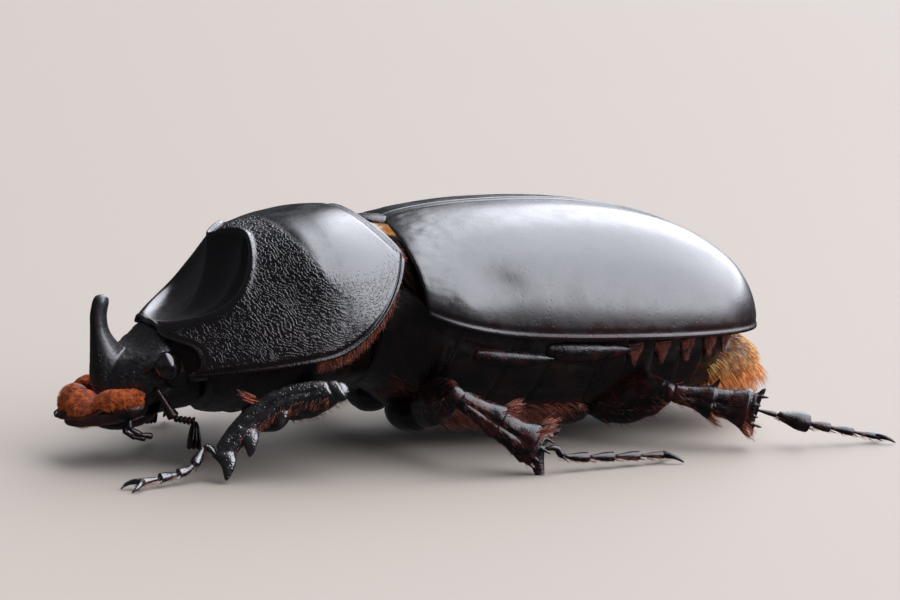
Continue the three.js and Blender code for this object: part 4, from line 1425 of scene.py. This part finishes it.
class BEETLE_OT_legs(BeetlePiece, bpy.types.Operator):
    """Adds the six legs, each of hip, thigh, toothed shin and toes"""

    bl_idname = "beetle.legs"
    bl_label = "Legs"

    def execute(self, context):
        self.setup(context)
        hip = under_finish("Hip chitin", self.look, 0.8)
        brown = leg_finish("Leg chitin", self.look)
        black = leg_finish("Front leg chitin", self.look, 2.3, 0.02, 0.2)
        for side, word in SIDES:
            for pair in LEGS:
                leg = leg_points(pair, side)
                tag = pair + "_%s_" + word
                finish = black if pair == "front" else brown
                done(coxa(leg, tag % "hip"), hip, "underside", tag % "coxa")
                done(femur(leg, tag % "thigh"), finish, "underside", tag % "femur")
                done(tibia(leg, tag % "shin"), finish, "shell", tag % "tibia")
                done(tarsus(leg, tag % "toes"), finish, "shell", tag % "tarsus", angle=50)
        return {"FINISHED"}


class BEETLE_OT_bristles(BeetlePiece, bpy.types.Operator):
    """Adds the bristles of the mouth, breast, legs and tail"""

    bl_idname = "beetle.bristles"
    bl_label = "Bristles"

    def execute(self, context):
        self.setup(context)
        red = bristle_finish("Red bristles", tuple(c * 0.35 for c in self.look.bristle),
                             self.look.bristle)
        self.mouth()
        self.breast(red)
        self.tail()
        for side, word in SIDES:
            for pair in LEGS:
                self.leg(leg_points(pair, side), f"{pair}_{word}_bristles", red)
        return {"FINISHED"}

    def mouth(self):
        orange = bristle_finish("Mouth bristles", (0.30, 0.040, 0.003), (0.90, 0.20, 0.010), 0.35)
        for side, word in SIDES:
            coats = []
            for k, skin in enumerate(pad_shapes(side)):
                roots, out, places = around(skin, 2600, 11 + side + 20 * k, 0.03, 0.97)
                along = out * 0.5 + vec(side * 0.1, 0.5 - 1.3 * (1 - k), -0.25)
                coats.append(coat("pad_hair", roots, along, 0.24, 0.014, places,
                                  vec(0, 0, -0.3), 0.1, 31 + k))
            done(join("mouth_brush_" + word, coats), orange, "setae")

    def breast(self, material):
        count = 1500
        for side, word in SIDES:
            v = scatter(count, 41 + side, 0.0, 0.5)
            u = (0.5 + side * 0.5) * np.ones(count)
            rim, _ = pronotum_skin(u, v, 0.35)
            inward = scatter(count, 43 + side, 0.15, 0.9)
            roots = rim + vec(-side, 0, 0.0) * inward[:, None] + vec(0, 0, 0.1)
            along = vec(side * 0.15, 0.35, -1.0) + 0 * roots
            piece = coat("breast_fringe_" + word, roots, along, 1.0, 0.02,
                         np.stack([inward, v], 1), vec(0, -0.3, 0), 0.22, 53)
            u = 0.5 + side * scatter(700, 45 + side, 0.24, 0.5)
            rim, _ = pronotum_skin(u, 0.012 + 0 * u, 0.3)
            hind = coat("hind_fringe", rim, vec(0, 1.0, -0.45) + 0 * rim, 0.55, 0.018,
                        np.stack([u, 0 * u + 0.98], 1), vec(0, 0, -0.2), 0.2, 55)
            piece = join("breast_fringe_" + word, [piece, hind])
            done(piece, material, "setae")

            y = scatter(1300, 61 + side, -5.5, 6.0)
            z = scatter(1300, 63 + side, -0.99, -0.72)
            t = (y - BODY["front"]) / (BODY["chest_end"] - BODY["front"])
            skin = hind_body(BODY["front"], BODY["chest_end"])
            x = side * np.sqrt(np.maximum(0, 1 - z * z))
            roots = skin(x, z, t)
            out = unit(roots - np.stack([0 * y, y, 6 + 0 * y], -1))
            along = out * 0.35 + vec(0, 0.9, -0.3)
            piece = coat("chest_hair_" + word, roots, along, 0.75, 0.016,
                         np.stack([(z + 1) / 2, t], 1), vec(0, 0.1, -0.2), 0.2, 67)
            done(piece, material, "setae")

    def tail(self):
        """Golden hair over the tail plate, longer and more orange along its lower edge."""
        gold = bristle_finish("Golden bristles", self.look.pale_bristle, (0.85, 0.52, 0.14))
        orange = bristle_finish("Orange bristles", (0.40, 0.10, 0.010), (0.92, 0.34, 0.05))
        rust = bristle_finish("Rust bristles", (0.07, 0.009, 0.003), (0.24, 0.045, 0.010))
        count = 4200
        turn = scatter(count, 71, -0.1, PI + 0.1)
        lift = scatter(count, 73, -0.95, 0.98)
        flat = np.sqrt(1 - lift ** 2)
        ball = np.stack([np.cos(turn) * flat, np.sin(turn) * flat, lift], -1)
        roots = vec(*TAIL["middle"]) + ball * vec(*TAIL["half"])
        out = unit(ball / vec(*TAIL["half"]))
        places = np.stack([turn / PI * 0.9 + 0.05, (lift + 1) / 2], 1)
        for name, keep, finish, long in (
                ("tail_gold", (lift > -0.1) & (roots[:, 1] > 12.7), gold, 0.6),
                ("tail_amber", (lift <= -0.1) & (roots[:, 1] > 13.8), orange, 1.4)):
            lie = out[keep] * 0.6 + vec(0, 0.5, -0.7)
            piece = coat(name, roots[keep], lie, long, 0.02, places[keep], vec(0, 0, -0.3),
                         0.14, 75)
            done(piece, finish, "setae")
        for side, word in SIDES:
            fuzz = []
            for k, y in enumerate(SIDE_FOLDS):
                t = scatter(260, 81 + k, 0, 1) ** 1.3
                place = scatter(260, 91 + k, -1, 1)
                roots = body_side(side, y + place * 0.5 * (1 - 0.85 * t), 6.3 - 1.15 * t)
                roots = roots + vec(side * 0.08, 0, 0)
                lie = vec(side * 0.35, 0.25, -1.0) + 0 * roots
                fuzz.append(coat("fuzz", roots, lie, 0.28, 0.012,
                                 np.stack([(y + place) / 20, t], 1), vec(0, 0, -0.1), 0.16, 95 + k))
            done(join("side_fuzz_" + word, fuzz), rust, "setae")

    def leg(self, leg, name, material):
        spec, front = LEGS[leg["pair"]], leg["pair"] == "front"
        along = unit(leg["knee"] - leg["hip"])
        thigh = limb_skin(*thigh_shape(leg))
        seed = 100 + len(name) * 7 + (3 if leg["side"] > 0 else 0)
        roots, out, places = around(thigh, 260, seed, 0.1, 0.95)
        keep = out[:, 2] < 0.2
        roots, out, places = roots[keep], out[keep], places[keep]
        coats = [coat(name, roots, out * 0.35 + along * 0.9, 0.5, 0.014, places,
                      vec(0, 0, -0.25), 0.15, seed)]
        start, end, axis, _, _ = shin_line(leg)
        wide, deep = profile(*spec["width"]), profile(*spec["depth"])
        shin = limb_skin(start, end, leg["broad"], wide, deep, spec["bow"])
        if front:
            roots, out, places = around(shin, 150, seed + 4, 0.12, 0.85, turns=(-0.9, 0.9))
            lie, long = out * 0.7 + axis * 0.7, 0.5
        else:
            roots, out, places = around(shin, 260, seed + 4, 0.1, 0.98)
            lie, long = out * 0.45 + axis * 0.9, 0.4
        coats.append(coat(name, roots, lie, long, 0.014, places, vec(0, 0, -0.1), 0.15, seed + 5))
        combs = ((0.6, 26),) if front else ((0.5, 46), (0.88, 60))
        for k, (at, count) in enumerate(combs):
            turn = scatter(count, seed + 20 + k, 0.62 * PI, 1.45 * PI)
            t = at + scatter(count, seed + 30 + k, -0.03, 0.02)
            roots = shin(np.cos(turn) * 1.25, np.sin(turn) * 1.25, t)
            out = unit(roots - shin(0 * t, 0 * t, t))
            lie = out * 0.75 + axis * 0.55
            if not front:
                lie = lie + vec(0, 0.35, 0.1)
            coats.append(coat(name, roots, lie, 1.15, 0.028, np.stack([turn / (2 * PI), t], 1),
                              vec(0, 0.1, 0), 0.12, seed + 40 + k))
        path, direction = curve([leg["ankle"], *leg["toes"]])
        t = scatter(140, seed + 9, 0.15, 0.98)
        turn = scatter(140, seed + 10, PI, 2 * PI)
        heading = direction(t)
        sideways = unit(np.cross(heading, vec(0, 0, 1)))
        up = np.cross(sideways, heading)
        out = sideways * np.cos(turn)[:, None] + up * np.sin(turn)[:, None]
        roots = path(t) + out * 0.22
        coats.append(coat(name, roots, out * 0.5 + heading, 0.4, 0.013,
                          np.stack([turn / (2 * PI), t], 1), vec(0, 0, 0.1), 0.12, seed + 11))
        piece = level(join(name, coats), 0.02)
        done(piece, material, "setae")


class BEETLE_OT_studio(BeetlePiece, bpy.types.Operator):
    """Adds the floor, the soft light from above and the camera"""

    bl_idname = "beetle.studio"
    bl_label = "Studio"

    def execute(self, context):
        self.setup(context)
        studio = context.scene.beetle_studio
        bpy.ops.object.select_all(action="DESELECT")
        bpy.ops.mesh.primitive_plane_add(size=3.0, location=(0, 0, 0))
        floor = context.object
        floor.name = "studio_floor"
        n = Finish("Studio floor")
        shade = n.blend(n.noise(300.0, 1.0), tuple(c * 0.995 for c in studio.floor), studio.floor)
        roughness = n.between(n.noise(300.0), 0.3, 0.7, 0.7, 0.75)
        floor.data.materials.append(n.finish(shade, roughness, IOR=1.4))
        floor.visible_glossy = False  # the shell mirrors dark cards, as in a studio
        self.sky(context, studio)
        self.camera(context)
        context.scene.view_settings.view_transform = "Standard"
        return {"FINISHED"}

    def sky(self, context, studio):
        """A soft roof light that fades towards the horizon, fixed in space."""
        world = bpy.data.worlds.new("Studio light")
        context.scene.world = world
        world.use_nodes = True
        world.node_tree.nodes.clear()
        n = Nodes(world.node_tree, "Generated")
        height = n.add("ShaderNodeSeparateXYZ", {"Vector": n.place}).outputs["Z"]
        aim = n.add("ShaderNodeVectorMath", {0: n.place, 1: LAMP}, operation="DOT_PRODUCT")
        lamp = n.between(aim.outputs["Value"], 0.33, 0.56, studio.far_sky, studio.sky)
        glow = n.between(height, -0.05, 0.2, studio.dim, lamp)
        light = n.add("ShaderNodeBackground", {"Color": (0.89, 0.91, 1.0), "Strength": glow})
        n.add("ShaderNodeOutputWorld", {"Surface": light.outputs["Background"]})

    def camera(self, context):
        """A long lens, at the left and a little in front of the beetle."""
        turn, rise, target = VIEW["turn"], VIEW["rise"], Vector(VIEW["target"])
        place = target + VIEW["away"] * Vector((math.sin(turn) * math.cos(rise),
                                                -math.cos(turn) * math.cos(rise),
                                                math.sin(rise)))
        bpy.ops.object.camera_add(location=place * MM)
        camera = context.object
        camera.name = "studio_camera"
        camera.rotation_euler = (target - place).to_track_quat("-Z", "Y").to_euler()
        width = VIEW["image_width"] / VIEW["pixels_per_mm"]  # millimetres across the render
        camera.data.sensor_width = VIEW["sensor"]
        camera.data.lens = VIEW["sensor"] * VIEW["away"] / width
        camera.data.clip_start = 0.01
        context.scene.camera = camera


class BEETLE_PT_panel(bpy.types.Panel):
    """The beetle's sizes, colours and pieces"""

    bl_idname = "BEETLE_PT_panel"
    bl_label = "Beetle"
    bl_space_type = "VIEW_3D"
    bl_region_type = "UI"
    bl_category = "Beetle"

    def draw(self, context):
        scene = context.scene
        for title, group in (("Finish", scene.beetle_finish), ("Relief", scene.beetle_relief),
                             ("Studio", scene.beetle_studio)):
            box = self.layout.box()
            box.label(text=title)
            for key in group.__annotations__:
                box.prop(group, key)
        for piece in PIECES:
            self.layout.operator(piece.bl_idname)


PIECES = (BEETLE_OT_pronotum, BEETLE_OT_wing_cases, BEETLE_OT_waist, BEETLE_OT_underside,
          BEETLE_OT_head, BEETLE_OT_mouth, BEETLE_OT_legs, BEETLE_OT_bristles, BEETLE_OT_studio)
GROUPS = (BeetleFinish, BeetleRelief, BeetleStudio)


def register():
    for kind in GROUPS + PIECES + (BEETLE_PT_panel,):
        bpy.utils.register_class(kind)
    bpy.types.Scene.beetle_finish = bpy.props.PointerProperty(type=BeetleFinish)
    bpy.types.Scene.beetle_relief = bpy.props.PointerProperty(type=BeetleRelief)
    bpy.types.Scene.beetle_studio = bpy.props.PointerProperty(type=BeetleStudio)


def unregister():
    del bpy.types.Scene.beetle_studio
    del bpy.types.Scene.beetle_relief
    del bpy.types.Scene.beetle_finish
    for kind in reversed(GROUPS + PIECES + (BEETLE_PT_panel,)):
        bpy.utils.unregister_class(kind)


def main():
    register()
    for piece in PIECES:
        group, name = piece.bl_idname.split(".")
        getattr(getattr(bpy.ops, group), name)()


if __name__ == "__main__":
    main()
